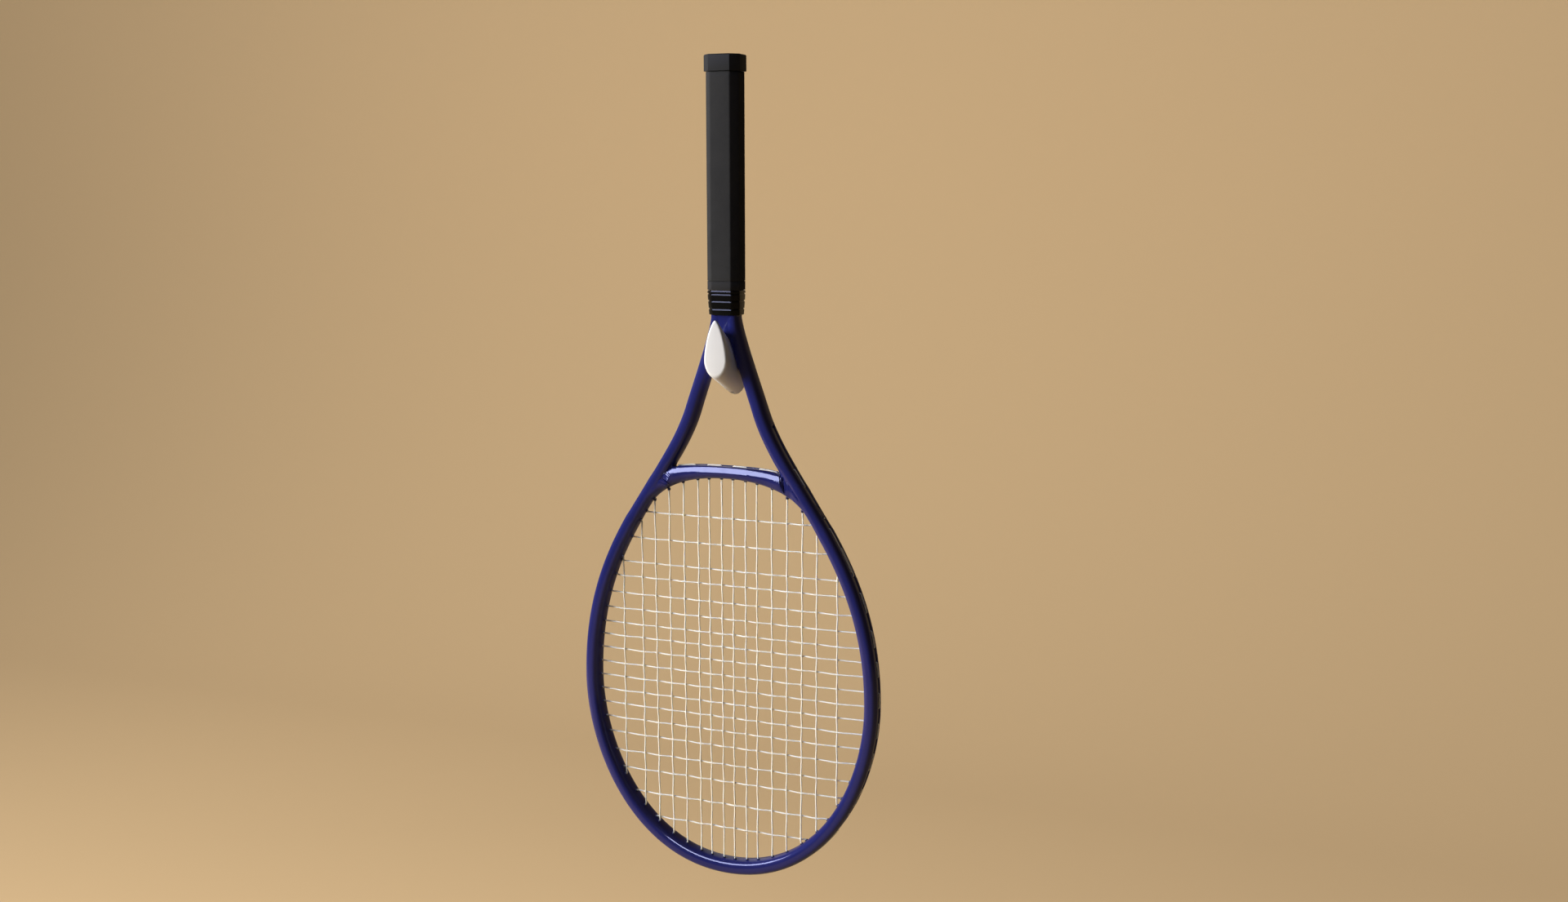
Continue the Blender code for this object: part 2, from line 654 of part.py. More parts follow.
class StringHole:
    """A hole through the beam for one string, square to the beam at the channel."""

    def __init__(self, beam, length, level, inner=None):
        self.beam = beam
        self.length = length
        self.level = level
        self.half = (BRIDGE_WIDTH if beam is BRIDGE else BEAM_WIDTH) / 2
        self.strip = self.half - CHANNEL_DEPTH + SEAT_GAP
        self.loop = self.strip + STRIP_THICKNESS + SEAT_GAP + STRING_RADIUS
        self.barrel_end = -self.half - BARREL_STAND_OUT
        self.inner = inner

    def mirror(self):
        """The same hole on the racket's other side."""
        inner = None if self.inner is None else mirrored(self.inner)
        return StringHole(self.beam, self.beam.length[-1] - self.length, self.level, inner)

    def at(self, offset):
        return self.beam.place(self.length, offset)

    def mouth(self):
        """Where the string leaves the hole inside the head."""
        return self.at(self.barrel_end - STRING_CLEAR) if self.inner is None else self.inner

    def string_points(self):
        """The string's way from the channel into the head."""
        bend = [] if self.inner is None else [self.at(0.0)]
        return [(p, self.level) for p in [self.at(self.loop), *bend, self.mouth()]]

    def barrel_points(self, over):
        """Middle of the grommet barrel. One that the string leaves at a bend stops short."""
        end = (self.barrel_end if self.inner is None else BENT_BARREL_END) - over
        return [(self.at(self.strip + STRIP_THICKNESS / 2 + over), self.level),
                (self.at(end), self.level)]

    def drill_points(self):
        """Middle of the hole in the beam."""
        out = [self.at(self.half + CUT_OVER)]
        if self.inner is None:
            out.append(self.at(-self.half - CUT_OVER))
        else:
            bend = self.at(0.0)
            ahead = self.inner - bend
            out += [bend, self.inner + CUT_OVER * ahead / np.linalg.norm(ahead)]
        return [(p, self.level) for p in out]


def bed_holes():
    """Holes of the right side: mains at the throat, mains at the tip, and crosses."""
    inner_edge = -BEAM_WIDTH / 2
    upper, lower, crosses = [], [], []
    for i, x in enumerate(np.array(MAIN_SHARES) * HEAD_HALF_WIDTH):
        if i < BRIDGE_MAINS:
            length = BRIDGE.where(0, x, -BRIDGE_WIDTH / 2, HALF_BRIDGE, 2 * HALF_BRIDGE)
            upper.append(StringHole(BRIDGE, length, -STRING_STAGGER))
        elif i < BRIDGE_MAINS + len(CORNER_MAIN_OUT_DROPS):
            out_h = BRIDGE_H + CORNER_MAIN_OUT_DROPS[i - BRIDGE_MAINS] * MM
            length = HOOP.where(1, out_h, BEAM_WIDTH / 2, 0.0, WIDEST_LENGTH)
            under = BRIDGE.where(0, x, -BRIDGE_WIDTH / 2, HALF_BRIDGE, 2 * HALF_BRIDGE)
            inner = BRIDGE.place(under, -BRIDGE_WIDTH / 2) + np.array([0.0, CORNER_MOUTH_DROP])
            upper.append(StringHole(HOOP, length, -STRING_STAGGER, inner))
        else:
            length = HOOP.where(0, x, inner_edge, HOOP.where(1, BRIDGE_H, 0, 0, TIP_LENGTH / 2),
                                WIDEST_LENGTH)
            upper.append(StringHole(HOOP, length, -STRING_STAGGER))
        length = HOOP.where(0, x, inner_edge, WIDEST_LENGTH, TIP_LENGTH)
        lower.append(StringHole(HOOP, length, -STRING_STAGGER))
    for share in CROSS_SHARES:
        h = BRIDGE_H + share * HEAD_LENGTH
        length = HOOP.where(1, h, inner_edge, 0.0, TIP_LENGTH)
        crosses.append(StringHole(HOOP, length, STRING_STAGGER))
    spread([hole for hole in upper + lower + crosses if hole.beam is HOOP])
    return upper, lower, crosses


def spread(holes):
    """Push holes apart along the beam until no two are closer than HOLE_SPACING."""
    holes.sort(key=lambda hole: hole.length)
    for _ in range(60):
        for near, far in zip(holes, holes[1:]):
            short = HOLE_SPACING - (far.length - near.length)
            if short > 0:
                near.length -= short / 2
                far.length += short / 2


def loop_between(a, b):
    """The string in the channel from one hole to the next."""
    return [(p, a.level) for p in a.beam.follow(a.length, b.length, a.loop)]


def eased(points, turn):
    """The path with each sharp corner cut off at a distance along both of its sides."""
    out = [points[0]]
    for before, corner, after in zip(points, points[1:], points[2:]):
        back, ahead = before - corner, after - corner
        lengths = np.linalg.norm(back), np.linalg.norm(ahead)
        if back @ ahead / (lengths[0] * lengths[1]) > -0.8:
            out.append(corner + back * min(turn / lengths[0], 0.4))
            out.append(corner + ahead * min(turn / lengths[1], 0.4))
        else:
            out.append(corner)
    return out + [points[-1]]


def in_space(flat_points):
    """Points (x, h) with their depth, as 3-D points of the racket."""
    return [np.array([p[0], level, -p[1]]) for p, level in flat_points]


def crossing(a, b):
    """Shares along two straight strings at which they cross, or nothing."""
    sides = np.array([a[1] - a[0], b[0] - b[1]]).T
    u, v = np.linalg.solve(sides, b[0] - a[0])
    return (u, v) if 0 < u < 1 and 0 < v < 1 else None


def make_strings(racket, upper, lower, crosses):
    """Main and cross strings, each one unbroken length with its loops in the channel."""
    tops = [hole.mirror() for hole in upper[::-1]] + upper
    bottoms = [hole.mirror() for hole in lower[::-1]] + lower
    main = []
    for i, (top, bottom) in enumerate(zip(tops, bottoms)):
        first, last = (bottom, top) if i % 2 == 0 else (top, bottom)
        if i:
            main += loop_between(previous, first)
        main += first.string_points() + last.string_points()[::-1]
        previous = last
    lines = [(top.mouth(), bottom.mouth()) for top, bottom in zip(tops, bottoms)]

    cross = []
    for j, right in enumerate(crosses):
        left = right.mirror()
        first, last = (right, left) if j % 2 == 0 else (left, right)
        if j:
            cross += loop_between(previous, first)
        cross += first.string_points()
        row = (first.mouth(), last.mouth())
        length = np.linalg.norm(row[1] - row[0])
        met = []
        for i, line in enumerate(lines):
            shares = crossing(row, line)
            if shares is None:
                continue
            near = min(shares[0], 1 - shares[0]) * length < WEAVE_FROM_END
            behind = near or (i + j) % 2 == 0
            met.append((shares[0], STRING_WEAVE if behind else -STRING_WEAVE))
        cross += [(row[0] + share * (row[1] - row[0]), -STRING_STAGGER + side)
                  for share, side in sorted(met)]
        cross += last.string_points()[::-1]
        previous = last

    for name, points in (("main_string", main), ("cross_string", cross)):
        path = eased(in_space(points), STRING_TURN)
        round_tubes(name, [path], STRING_RADIUS, "string_white", racket)


# Frame and grommet strips

def throat_arch():
    """The hollow between the arms: the peg's upper outline, grown by THROAT_CLEAR, then the
    arms' inner edges."""
    distance = RACKET_FROM_WALL + BEAM_DEPTH / 2
    height = peg_height(distance)
    turn = np.linspace(0.0, math.pi / 2, ARCH_STEPS)
    up = PEG_BULB_HEIGHT + (height - PEG_BULB_HEIGHT) * np.cos(turn)
    right = np.stack([peg_half_width(up, height), up], axis=1)
    ahead = np.gradient(right, axis=0)
    ahead /= np.linalg.norm(ahead, axis=1)[:, None]
    right += THROAT_CLEAR * np.stack([-ahead[:, 1], ahead[:, 0]], axis=1)
    right[0] = (0.0, height + THROAT_CLEAR)
    right[:, 1] += peg_bottom(distance) - BUTT_Z
    edge = []
    for h in np.arange(ARM_START_H + WEB_LENGTH, -right[-1, 1] + 2 * MM, -3 * MM)[::-1]:
        length = HOOP.where(1, h, 0.0, 0.0, TIP_LENGTH)
        x, h = HOOP.place(length, WEB_SINK - arm_size(h) * BEAM_WIDTH / 2)
        if x > right[-1, 0] and -h < right[-1, 1]:
            edge.append((x, -h))
    right = np.vstack([right, edge, [(edge[-1][0], edge[-1][1] - 4 * MM)]])
    return np.vstack([right, mirrored(right[:0:-1])])


def throat_web(racket):
    """Fills the throat from one arm's middle to the other's, and thins out at its end."""
    rings = []
    for share in np.linspace(0.0, 1.0, WEB_STEPS):
        h = ARM_START_H - SEAT_GAP + share * (WEB_LENGTH + SEAT_GAP)
        x = HOOP.place(HOOP.where(1, h, 0.0, 0.0, TIP_LENGTH), 0.0)[0]
        thinning = max(share - WEB_FULL_SHARE, 0.0) / (1 - WEB_FULL_SHARE)
        y = (WEB_DEPTH + thinning * (WEB_END_DEPTH - WEB_DEPTH)) / 2
        rings.append([(x, -y, -h), (x, y, -h), (-x, y, -h), (-x, -y, -h)])
    return stack("throat_web", rings, None, racket)


def make_frame(racket, holes):
    section = oval_section(BEAM_WIDTH, BEAM_DEPTH, BEAM_SQUARENESS, BEAM_SIDES)
    frame = swept("frame", HOOP_PATH, section, "blue_lacquer", racket,
                  arm_size(HOOP_PATH[:, 1]))
    bridge = swept("bridge", BRIDGE_PATH,
                   oval_section(BRIDGE_WIDTH, BRIDGE_DEPTH, BEAM_SQUARENESS, BEAM_SIDES),
                   None, racket)
    web = throat_web(racket)
    cut(web, stack("throat_arch", [[(x, y, z) for x, z in throat_arch()]
                                   for y in (-WEB_DEPTH, WEB_DEPTH)], None, racket))
    neck = upright_block("neck", NECK_SIZE, PALLET_END_H + SEAT_GAP, ARM_START_H + CUT_OVER,
                         None, racket, CORE_BEVEL, 2)
    core = upright_block("core", CORE_SIZE, CORE_H, PALLET_END_H + 2 * CUT_OVER,
                         None, racket, CORE_BEVEL, 2)
    join(frame, bridge, web, neck, core)
    settle(frame)

    start = HOOP.where(1, CHANNEL_START_H, 0.0, 0.0, TIP_LENGTH)
    bottom = BEAM_WIDTH / 2 - CHANNEL_DEPTH
    cut(frame, swept("head_channel", HOOP.stretch(start, HOOP.length[-1] - start),
                     bar_section(bottom, bottom + 3 * CHANNEL_DEPTH, CHANNEL_WIDTH), None, racket))
    settle(frame)
    bottom = BRIDGE_WIDTH / 2 - CHANNEL_DEPTH
    cut(frame, swept("throat_channel", bridge_stretch(0.0),
                     bar_section(bottom, bottom + 2 * CHANNEL_DEPTH, THROAT_CHANNEL_WIDTH),
                     None, racket))
    drill = STRING_RADIUS + SEAT_GAP + BARREL_WALL + SEAT_GAP
    for level in (-STRING_STAGGER, STRING_STAGGER):
        paths = [in_space(hole.drill_points()) for hole in holes if hole.level == level]
        name = "main_drill" if level < 0 else "cross_drill"
        settle(frame)
        cut(frame, round_tubes(name, paths, drill, None, racket))
    return frame


def bridge_stretch(end_gap):
    """The middle stretch of the bridge that has a channel, less a gap at both ends."""
    half_width = THROAT_CHANNEL_SHARE * shoulder_point(BRIDGE_JOIN)[0][0] - end_gap
    start = BRIDGE.where(0, -half_width, 0.0, 0.0, HALF_BRIDGE)
    return BRIDGE.stretch(start, 2 * HALF_BRIDGE - start)


def make_strip(name, racket, path, half, holes):
    """A grommet strip in the channel, with a barrel through the beam for each of its holes."""
    inner = half - CHANNEL_DEPTH + SEAT_GAP
    section = bar_section(inner, inner + STRIP_THICKNESS, CHANNEL_WIDTH - 2 * SEAT_GAP)
    strip = swept(name, path, section, "blue_nylon", racket)
    bore = STRING_RADIUS + SEAT_GAP
    join(strip, round_tubes(name + "_barrels", [in_space(hole.barrel_points(0.0))
                                                for hole in holes],
                            bore + BARREL_WALL, None, racket))
    settle(strip)
    cut(strip, round_tubes(name + "_bores", [in_space(hole.barrel_points(CUT_OVER))
                                             for hole in holes], bore, None, racket))
    settle(strip)
    return strip


def make_strips(racket, holes):
    start = HOOP.where(1, CHANNEL_START_H + STRIP_JOINT_GAP, 0.0, 0.0, TIP_LENGTH)
    joint = HOOP.where(1, BRIDGE_H + BUMPER_START_SHARE * HEAD_LENGTH, 0.0, 0.0, TIP_LENGTH)
    total = HOOP.length[-1]
    gap = STRIP_JOINT_GAP / 2
    runs = {
        "grommet_strip_right": (start, joint - gap),
        "bumper_strip": (joint + gap, total - joint - gap),
        "grommet_strip_left": (total - joint + gap, total - start),
    }
    for name, (low, high) in runs.items():
        own = [hole for hole in holes if hole.beam is HOOP and low < hole.length < high]
        make_strip(name, racket, HOOP.stretch(low, high), BEAM_WIDTH / 2, own)
    own = [hole for hole in holes if hole.beam is BRIDGE]
    make_strip("grommet_strip_throat", racket, bridge_stretch(STRIP_JOINT_GAP),
               BRIDGE_WIDTH / 2, own)


# Handle

def grip_ring(inset, h):
    """The grip's eight-sided outline, drawn in by an inset, at a distance from the butt end."""
    return octagon(GRIP_WIDTH - 2 * inset, GRIP_DEPTH - 2 * inset,
                   GRIP_BEVEL - (2 - math.sqrt(2)) * inset, h)


def octagon(width, depth, bevel, h):
    x, y = width / 2, depth / 2
    corner = [(x, y - bevel), (x - bevel, y)]
    quarter = [(-px, py) for px, py in corner[::-1]]
    upper = corner + quarter
    return [(px, py, -h) for px, py in upper + [(-px, -py) for px, py in upper]]


def stack(name, rings, finish=None, parent=None):
    """A closed solid over eight-sided rings, from the butt end down."""
    bm = bmesh.new()
    loops = [[bm.verts.new(point) for point in ring] for ring in rings]
    for above, below in zip(loops, loops[1:]):
        for i in range(len(above)):
            j = (i + 1) % len(above)
            bm.faces.new((above[i], below[i], below[j], above[j]))
    bm.faces.new(loops[0])
    bm.faces.new(loops[-1])
    bmesh.ops.recalc_face_normals(bm, faces=bm.faces)
    return add_object(name, mesh_from(bm, name), finish, parent)


def make_grip(racket):
    """Pallet on the frame's core, the wrap round it, and the tape that ends the wrap."""
    fit = WRAP_THICKNESS + SEAT_GAP
    skirt_end = CAP_HEIGHT + SKIRT_LENGTH + SEAT_GAP
    rebate = fit + SKIRT_THICKNESS + SEAT_GAP
    start = CAP_HEIGHT + SEAT_GAP
    pallet = stack("handle_pallet", [grip_ring(rebate, start), grip_ring(rebate, skirt_end),
                                     grip_ring(fit, skirt_end), grip_ring(fit, PALLET_END_H)],
                   "foam", racket)
    wide, deep = (size + 2 * SEAT_GAP for size in CORE_SIZE)
    cut(pallet, upright_block("pallet_bore", (wide, deep), CORE_H - SEAT_GAP,
                              PALLET_END_H + CUT_OVER, None, racket, CORE_BEVEL, 2))
    cut(pallet, upright_block("pallet_compartment", COMPARTMENT, start - CUT_OVER,
                              CORE_H + CUT_OVER, None, racket, CORE_BEVEL))

    wrap_end = COLLAR_H - SEAT_GAP
    tape_start = wrap_end - TAPE_LENGTH
    under_tape = TAPE_THICKNESS + SEAT_GAP
    wrap = stack("grip_wrap", [grip_ring(0.0, start), grip_ring(0.0, tape_start - SEAT_GAP),
                               grip_ring(under_tape, tape_start - SEAT_GAP),
                               grip_ring(under_tape, wrap_end)], "grip_black", racket)
    cut(wrap, stack("wrap_bore", [grip_ring(WRAP_THICKNESS, start - CUT_OVER),
                                  grip_ring(WRAP_THICKNESS, wrap_end + CUT_OVER)], None, racket))
    tape = stack("finishing_tape", [grip_ring(0.0, tape_start), grip_ring(0.0, wrap_end)],
                 "tape_black", racket)
    cut(tape, stack("tape_bore", [grip_ring(TAPE_THICKNESS, tape_start - CUT_OVER),
                                  grip_ring(TAPE_THICKNESS, wrap_end + CUT_OVER)], None, racket))
    return pallet


def make_collar(racket):
    """Ribbed rubber collar over the pallet's end and the neck of the frame."""
    rings = []

    def ring(share, out):
        width, depth = (a + share * (b - a) for a, b in zip(COLLAR_TOP, COLLAR_END))
        bevel = COLLAR_BEVEL * width / COLLAR_TOP[0]
        return octagon(width + 2 * out, depth + 2 * out, bevel, COLLAR_H + share * COLLAR_LENGTH)

    for start, end in zip(COLLAR_RIB_STARTS, COLLAR_RIB_STARTS[1:] + [1.0]):
        for part, out in ((0.0, 0.0), (0.15, COLLAR_RIB_HEIGHT), (0.6, COLLAR_RIB_HEIGHT),
                          (0.85, 0.0)):
            rings.append(ring(start + part * (end - start), out))
    rings.append(ring(1.0, 0.0))
    collar = stack("grip_collar", rings, "rubber_black", racket)
    fit = WRAP_THICKNESS
    cut(collar, stack("collar_seat", [grip_ring(fit, COLLAR_H - CUT_OVER),
                                      grip_ring(fit, PALLET_END_H + SEAT_GAP)], None, racket))
    wide, deep = (size + 2 * SEAT_GAP for size in NECK_SIZE)
    cut(collar, upright_block("collar_bore", (wide, deep), COLLAR_H - CUT_OVER,
                              COLLAR_H + COLLAR_LENGTH + CUT_OVER, None, racket, CORE_BEVEL, 2))
    return collar


def make_butt_cap(racket):
    """Cap with a skirt under the wrap, a compartment, and an opening with a ledge."""
    skirt = WRAP_THICKNESS + SEAT_GAP
    skirt_end = CAP_HEIGHT + SKIRT_LENGTH
    cap = stack("butt_cap", [grip_ring(CAP_EDGE - CAP_PROUD, 0.0), grip_ring(-CAP_PROUD, CAP_EDGE),
                             grip_ring(-CAP_PROUD, CAP_HEIGHT), grip_ring(skirt, CAP_HEIGHT),
                             grip_ring(skirt, skirt_end)], "cap_black", racket)
    inside = skirt + SKIRT_THICKNESS
    cut(cap, stack("cap_hollow", [grip_ring(inside, CAP_END_WALL),
                                  grip_ring(inside, skirt_end + CUT_OVER)], None, racket))
    wide, deep = DOOR_OPENING
    ledge_h = DOOR_SINK + DOOR_THICKNESS + SEAT_GAP
    cut(cap, upright_block("door_opening", (wide, deep), -CUT_OVER, ledge_h, None, racket))
    cut(cap, block("door_ledge", (wide - 2 * DOOR_LEDGE, deep - DOOR_LEDGE, 4 * CUT_OVER),
                   (0.0, DOOR_LEDGE / 2, -ledge_h), None, racket))
    hinge_y, hinge_h = door_hinge()
    reach = wide / 2 + TRUNNION_LENGTH + HINGE_GAP
    cut(cap, cylinder("hinge_sockets", TRUNNION_RADIUS + HINGE_GAP, (-reach, hinge_y, -hinge_h),
                      (reach, hinge_y, -hinge_h), None, racket, 12))
    return cap


def door_hinge():
    """The door's axis: (y, h). The door's rear edge is rounded about it."""
    radius = DOOR_THICKNESS / 2
    return DOOR_OPENING[1] / 2 - HINGE_GAP - radius, DOOR_SINK + radius


def make_trapdoor(racket):
    """Door of the butt compartment, with its origin on the hinge."""
    wide, deep = (size - 2 * HINGE_GAP for size in DOOR_OPENING)
    radius = DOOR_THICKNESS / 2
    hinge_y, hinge_h = door_hinge()
    hinge = bpy.data.objects.new("trapdoor_hinge", None)
    PARTS.objects.link(hinge)
    hinge.parent = racket
    hinge.location = (0.0, hinge_y, -hinge_h)
    door = block("butt_trapdoor", (wide, deep - radius, DOOR_THICKNESS),
                 (0.0, -(deep - radius) / 2, 0.0), "cap_black", hinge)
    join(door, cylinder("door_edge", radius * 0.999, (-wide / 2, 0, 0), (wide / 2, 0, 0),
                        None, hinge, 16),
         cylinder("door_trunnions", TRUNNION_RADIUS, (-wide / 2 - TRUNNION_LENGTH, 0, 0),
                  (wide / 2 + TRUNNION_LENGTH, 0, 0), None, hinge, 12))
    cut(door, block("finger_notch", (DOOR_NOTCH, 2 * DOOR_NOTCH / 3, DOOR_THICKNESS),
                    (0.0, -(deep - radius), DOOR_THICKNESS * 0.6), None, hinge))
    return door


def make_staples(racket, cap, pallet):
    """Two staples on each broad side, through the cap's skirt into the pallet."""
    face = GRIP_DEPTH / 2 - WRAP_THICKNESS - SEAT_GAP
    wire = STAPLE_WIRE
    hole = wire + 2 * STAPLE_FIT
    for label, side in (("front", -1), ("rear", 1)):
        for hand, across in (("left", -1), ("right", 1)):
            name = f"cap_staple_{label}_{hand}"
            x = across * STAPLE_SPACING / 2
            crown_y = side * (face - STAPLE_SINK - wire / 2)
            leg_y = side * (face - STAPLE_SINK - STAPLE_LEG / 2)
            staple = block(name, (STAPLE_WIDTH, wire, wire), (x, crown_y, -STAPLE_H), "steel",
                           racket)
            slot = block(name + "_slot", (STAPLE_WIDTH + 2 * STAPLE_FIT, wire + 2 * STAPLE_SINK
                                          + STAPLE_FIT, hole),
                         (x, side * (face - (wire + STAPLE_FIT) / 2), -STAPLE_H), None, racket)
            cut(cap, slot)
            for end in (-1, 1):
                leg_x = x + end * (STAPLE_WIDTH - wire) / 2
                leg = block(f"{name}_leg", (wire, STAPLE_LEG, wire), (leg_x, leg_y, -STAPLE_H),
                            None, racket)
                join(staple, leg)
                deep = STAPLE_LEG + 2 * STAPLE_FIT
                hole_y = side * (face - STAPLE_SINK - deep / 2)
                drill = block(f"{name}_hole", (hole, deep, hole), (leg_x, hole_y, -STAPLE_H),
                              None, racket)
                cut(cap, drill)
                cut(pallet, drill)


def main():
    clear_scene()
    shell = make_peg_shell()
    bracket = make_wall_bracket()
    make_lock_screw(bracket, shell)
    for label, z in (("upper", UPPER_SCREW_Z), ("lower", LOWER_SCREW_Z)):
        make_wall_screw(label, z)
        make_wall_plug(label, z)

    racket = bpy.data.objects.new("racket", None)
    PARTS.objects.link(racket)
    racket.location = (0.0, -RACKET_FROM_WALL, BUTT_Z)
    upper, lower, crosses = bed_holes()
    right_holes = upper + lower + crosses
    holes = right_holes + [hole.mirror() for hole in right_holes]
    make_frame(racket, holes)
    make_strips(racket, holes)
    make_strings(racket, upper, lower, crosses)
    pallet = make_grip(racket)
    make_collar(racket)
    cap = make_butt_cap(racket)
    make_trapdoor(racket)
    make_staples(racket, cap, pallet)
    print(f"butt end {BUTT_Z * 1000:.2f} mm above the origin")


main()
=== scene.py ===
"""The wall racket rack, dressed: a white peg on its bracket and the strung racket hung on it.

Everything is in metres in the part's own frame: +X right, +Y into the wall, +Z up, with the
origin on the wall behind the peg. Racket places are written as (x, h): x from its centre line,
h down from its butt end. Sizes that the solids share have the same names and values there.
"""

import json
import math
from functools import partialmethod

import bmesh
import bpy
import numpy as np
from mathutils import Matrix, Vector

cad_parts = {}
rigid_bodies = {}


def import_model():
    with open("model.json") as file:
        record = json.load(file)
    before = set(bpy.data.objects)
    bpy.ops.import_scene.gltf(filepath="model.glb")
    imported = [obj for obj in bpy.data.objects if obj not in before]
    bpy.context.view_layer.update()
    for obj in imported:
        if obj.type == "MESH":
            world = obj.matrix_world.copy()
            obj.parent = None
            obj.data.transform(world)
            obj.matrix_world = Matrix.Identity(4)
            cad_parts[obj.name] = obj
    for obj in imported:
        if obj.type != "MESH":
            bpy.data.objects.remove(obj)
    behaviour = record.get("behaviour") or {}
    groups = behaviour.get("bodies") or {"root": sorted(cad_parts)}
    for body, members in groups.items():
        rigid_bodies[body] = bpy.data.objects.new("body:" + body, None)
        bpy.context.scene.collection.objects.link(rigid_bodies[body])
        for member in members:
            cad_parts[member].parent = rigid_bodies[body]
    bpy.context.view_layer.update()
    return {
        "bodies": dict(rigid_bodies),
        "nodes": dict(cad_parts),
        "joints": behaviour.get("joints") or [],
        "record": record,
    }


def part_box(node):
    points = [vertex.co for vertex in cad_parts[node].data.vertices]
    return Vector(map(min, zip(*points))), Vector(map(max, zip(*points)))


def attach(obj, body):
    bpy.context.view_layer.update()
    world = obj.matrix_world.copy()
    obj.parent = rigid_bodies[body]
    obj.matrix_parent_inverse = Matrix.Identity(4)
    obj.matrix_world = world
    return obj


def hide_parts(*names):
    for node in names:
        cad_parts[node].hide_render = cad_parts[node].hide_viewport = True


MM = 0.001
SEAT_GAP = 0.3 * MM
WELD_REACH = 1e-6

# Wall peg
PEG_HEIGHT = 47.4 * MM
PEG_WIDTH = 20.6 * MM
PEG_DEPTH = 40.0 * MM
PEG_TOP_TAPER = 0.30
PEG_BULB_HEIGHT = 14.7 * MM
PEG_TIP_BLUNTNESS = 0.62
PEG_FLANK_CURVE = 1.5
PEG_RISE_ANGLE = math.radians(24.7)
PEG_WALL = 2.2 * MM
PEG_EDGE_RADIUS = 2.4 * MM
PEG_SIDE_POINTS = 65
BRACKET_THICKNESS = 12.0 * MM
SCREW_HEIGHTS = {"upper": 8.0 * MM, "lower": -3.5 * MM}
SCREW_RADIUS = 2.0 * MM
SCREW_HEAD_RADIUS = 3.7 * MM
SCREW_HEAD_HEIGHT = 2.4 * MM
SCREW_REACH = 30.0 * MM
THREAD_PITCH = 1.8 * MM
PLUG_SET_BACK = 2.3 * MM
PLUG_LENGTH = 28.0 * MM
PLUG_RADIUS = 3.6 * MM
PLUG_RIBS = 11

# Racket outline, on the middle of the beam. Each height hangs on the one above it
COLLAR_H = 185.0 * MM
COLLAR_LENGTH = 20.0 * MM
ARM_START_GAP = 0.9 * MM
ARM_LENGTH = 76.1 * MM
THROAT_LENGTH = 52.6 * MM
HEAD_LENGTH = 344.4 * MM
HEAD_HALF_WIDTH = 127.4 * MM
WIDEST_SHARE = 0.54326
ARM_START_H = COLLAR_H + COLLAR_LENGTH + ARM_START_GAP
ARM_MIDDLE_H = ARM_START_H + ARM_LENGTH
BRIDGE_H = ARM_MIDDLE_H + THROAT_LENGTH
WIDEST_H = BRIDGE_H + WIDEST_SHARE * HEAD_LENGTH
TIP_H = BRIDGE_H + HEAD_LENGTH
RACKET_FROM_WALL = 16.0 * MM
ARM_START_X = 6.5 * MM
ARM_MIDDLE_X = 29.5 * MM
ARM_ANGLE = math.radians(17.8)
ARM_START_PULL = 12.0 * MM
ARM_END_PULL = 14.0 * MM
SHOULDER_PULL = 0.29203 * (WIDEST_H - ARM_MIDDLE_H)
SIDE_PULL_UP = 0.66809 * (WIDEST_H - BRIDGE_H)
SIDE_PULL_DOWN = 0.43865 * (TIP_H - WIDEST_H)
TIP_PULL = 0.66719 * HEAD_HALF_WIDTH
BRIDGE_PULL_SHARE = 0.7219
BRIDGE_END_PULL = 14.0 * MM
BRIDGE_JOIN = 0.464

# Beam section
BEAM_WIDTH = 12.2 * MM
BEAM_DEPTH = 17.5 * MM
BEAM_SQUARENESS = 2.3
HOOP_SQUARENESS = 2.8
ARM_SIZE = 0.90
CHANNEL_START_GAP = 15.0 * MM
ARM_FULL_SIZE_H = ARM_MIDDLE_H + CHANNEL_START_GAP
BRIDGE_WIDTH = 11.2 * MM
BRIDGE_DEPTH = 16.8 * MM
FACET_MIDDLE = 2.25 * MM
FACET_RISE = 3.9 * MM
FACET_SLOPE = 0.58
FACET_BULGE = 0.028 * MM
FACET_HALF_LENGTH = 50.5 * MM
BRIDGE_SPREAD = 2.3 / (1000 * MM)
BRIDGE_SPREAD_SPAN = (52.0 * MM, 66.0 * MM)
BRIDGE_THICKER = 1.3 * MM
BRIDGE_THICKER_SPAN = (36.0 * MM, 48.0 * MM)
BEAM_STEP = 2.6 * MM
BRIDGE_STEP = 1.3 * MM
BEAM_POINTS = 24
LIP_DROP = 0.45 * MM
LIP_DROP_REACH = 5.5 * MM
FILLET_REACH = 4.5 * MM
FILLET_ROUNDS = 26
JOINT_DROP = 20.0 * MM
JOINT_REACH = 40.0 * MM
JOINT_START_X = 36.0 * MM
FACET_DEEP = 5.0 * MM
FACET_KEPT_SHARE = 0.62
FILLET_STRENGTH = 1.25
WEB_CREASE_SHARE = 0.28
WEB_SOFTNESS = 0.12
CHANNEL_SOFTNESS = 0.15

# String channel, grommet strips and strings
CHANNEL_WIDTH = 4.6 * MM
CHANNEL_DEPTH = 2.3 * MM
CHANNEL_FADE = 4.0 * MM
STRIP_THICKNESS = 0.8 * MM
BARREL_WALL = 0.4 * MM
BARREL_STAND_OUT = 0.9 * MM
STRING_RADIUS = 0.65 * MM
STRING_STAGGER = 0.8 * MM
MAIN_WAVE = 0.60 * MM
CROSS_WAVE = 0.73 * MM
STRING_BEND = 1.2 * MM
STRING_SIDES = 10
WEAVE_FROM_END = 4.0 * MM
WAVE_STEPS = 4
LOOP_STEP = 4.0 * MM
HOLE_SPACING = 4.2 * MM
CHANNEL_START_H = ARM_FULL_SIZE_H
BUMPER_START_SHARE = 0.7619
THROAT_CHANNEL_SHARE = 0.5567
STRIP_JOINT_GAP = 1.0 * MM
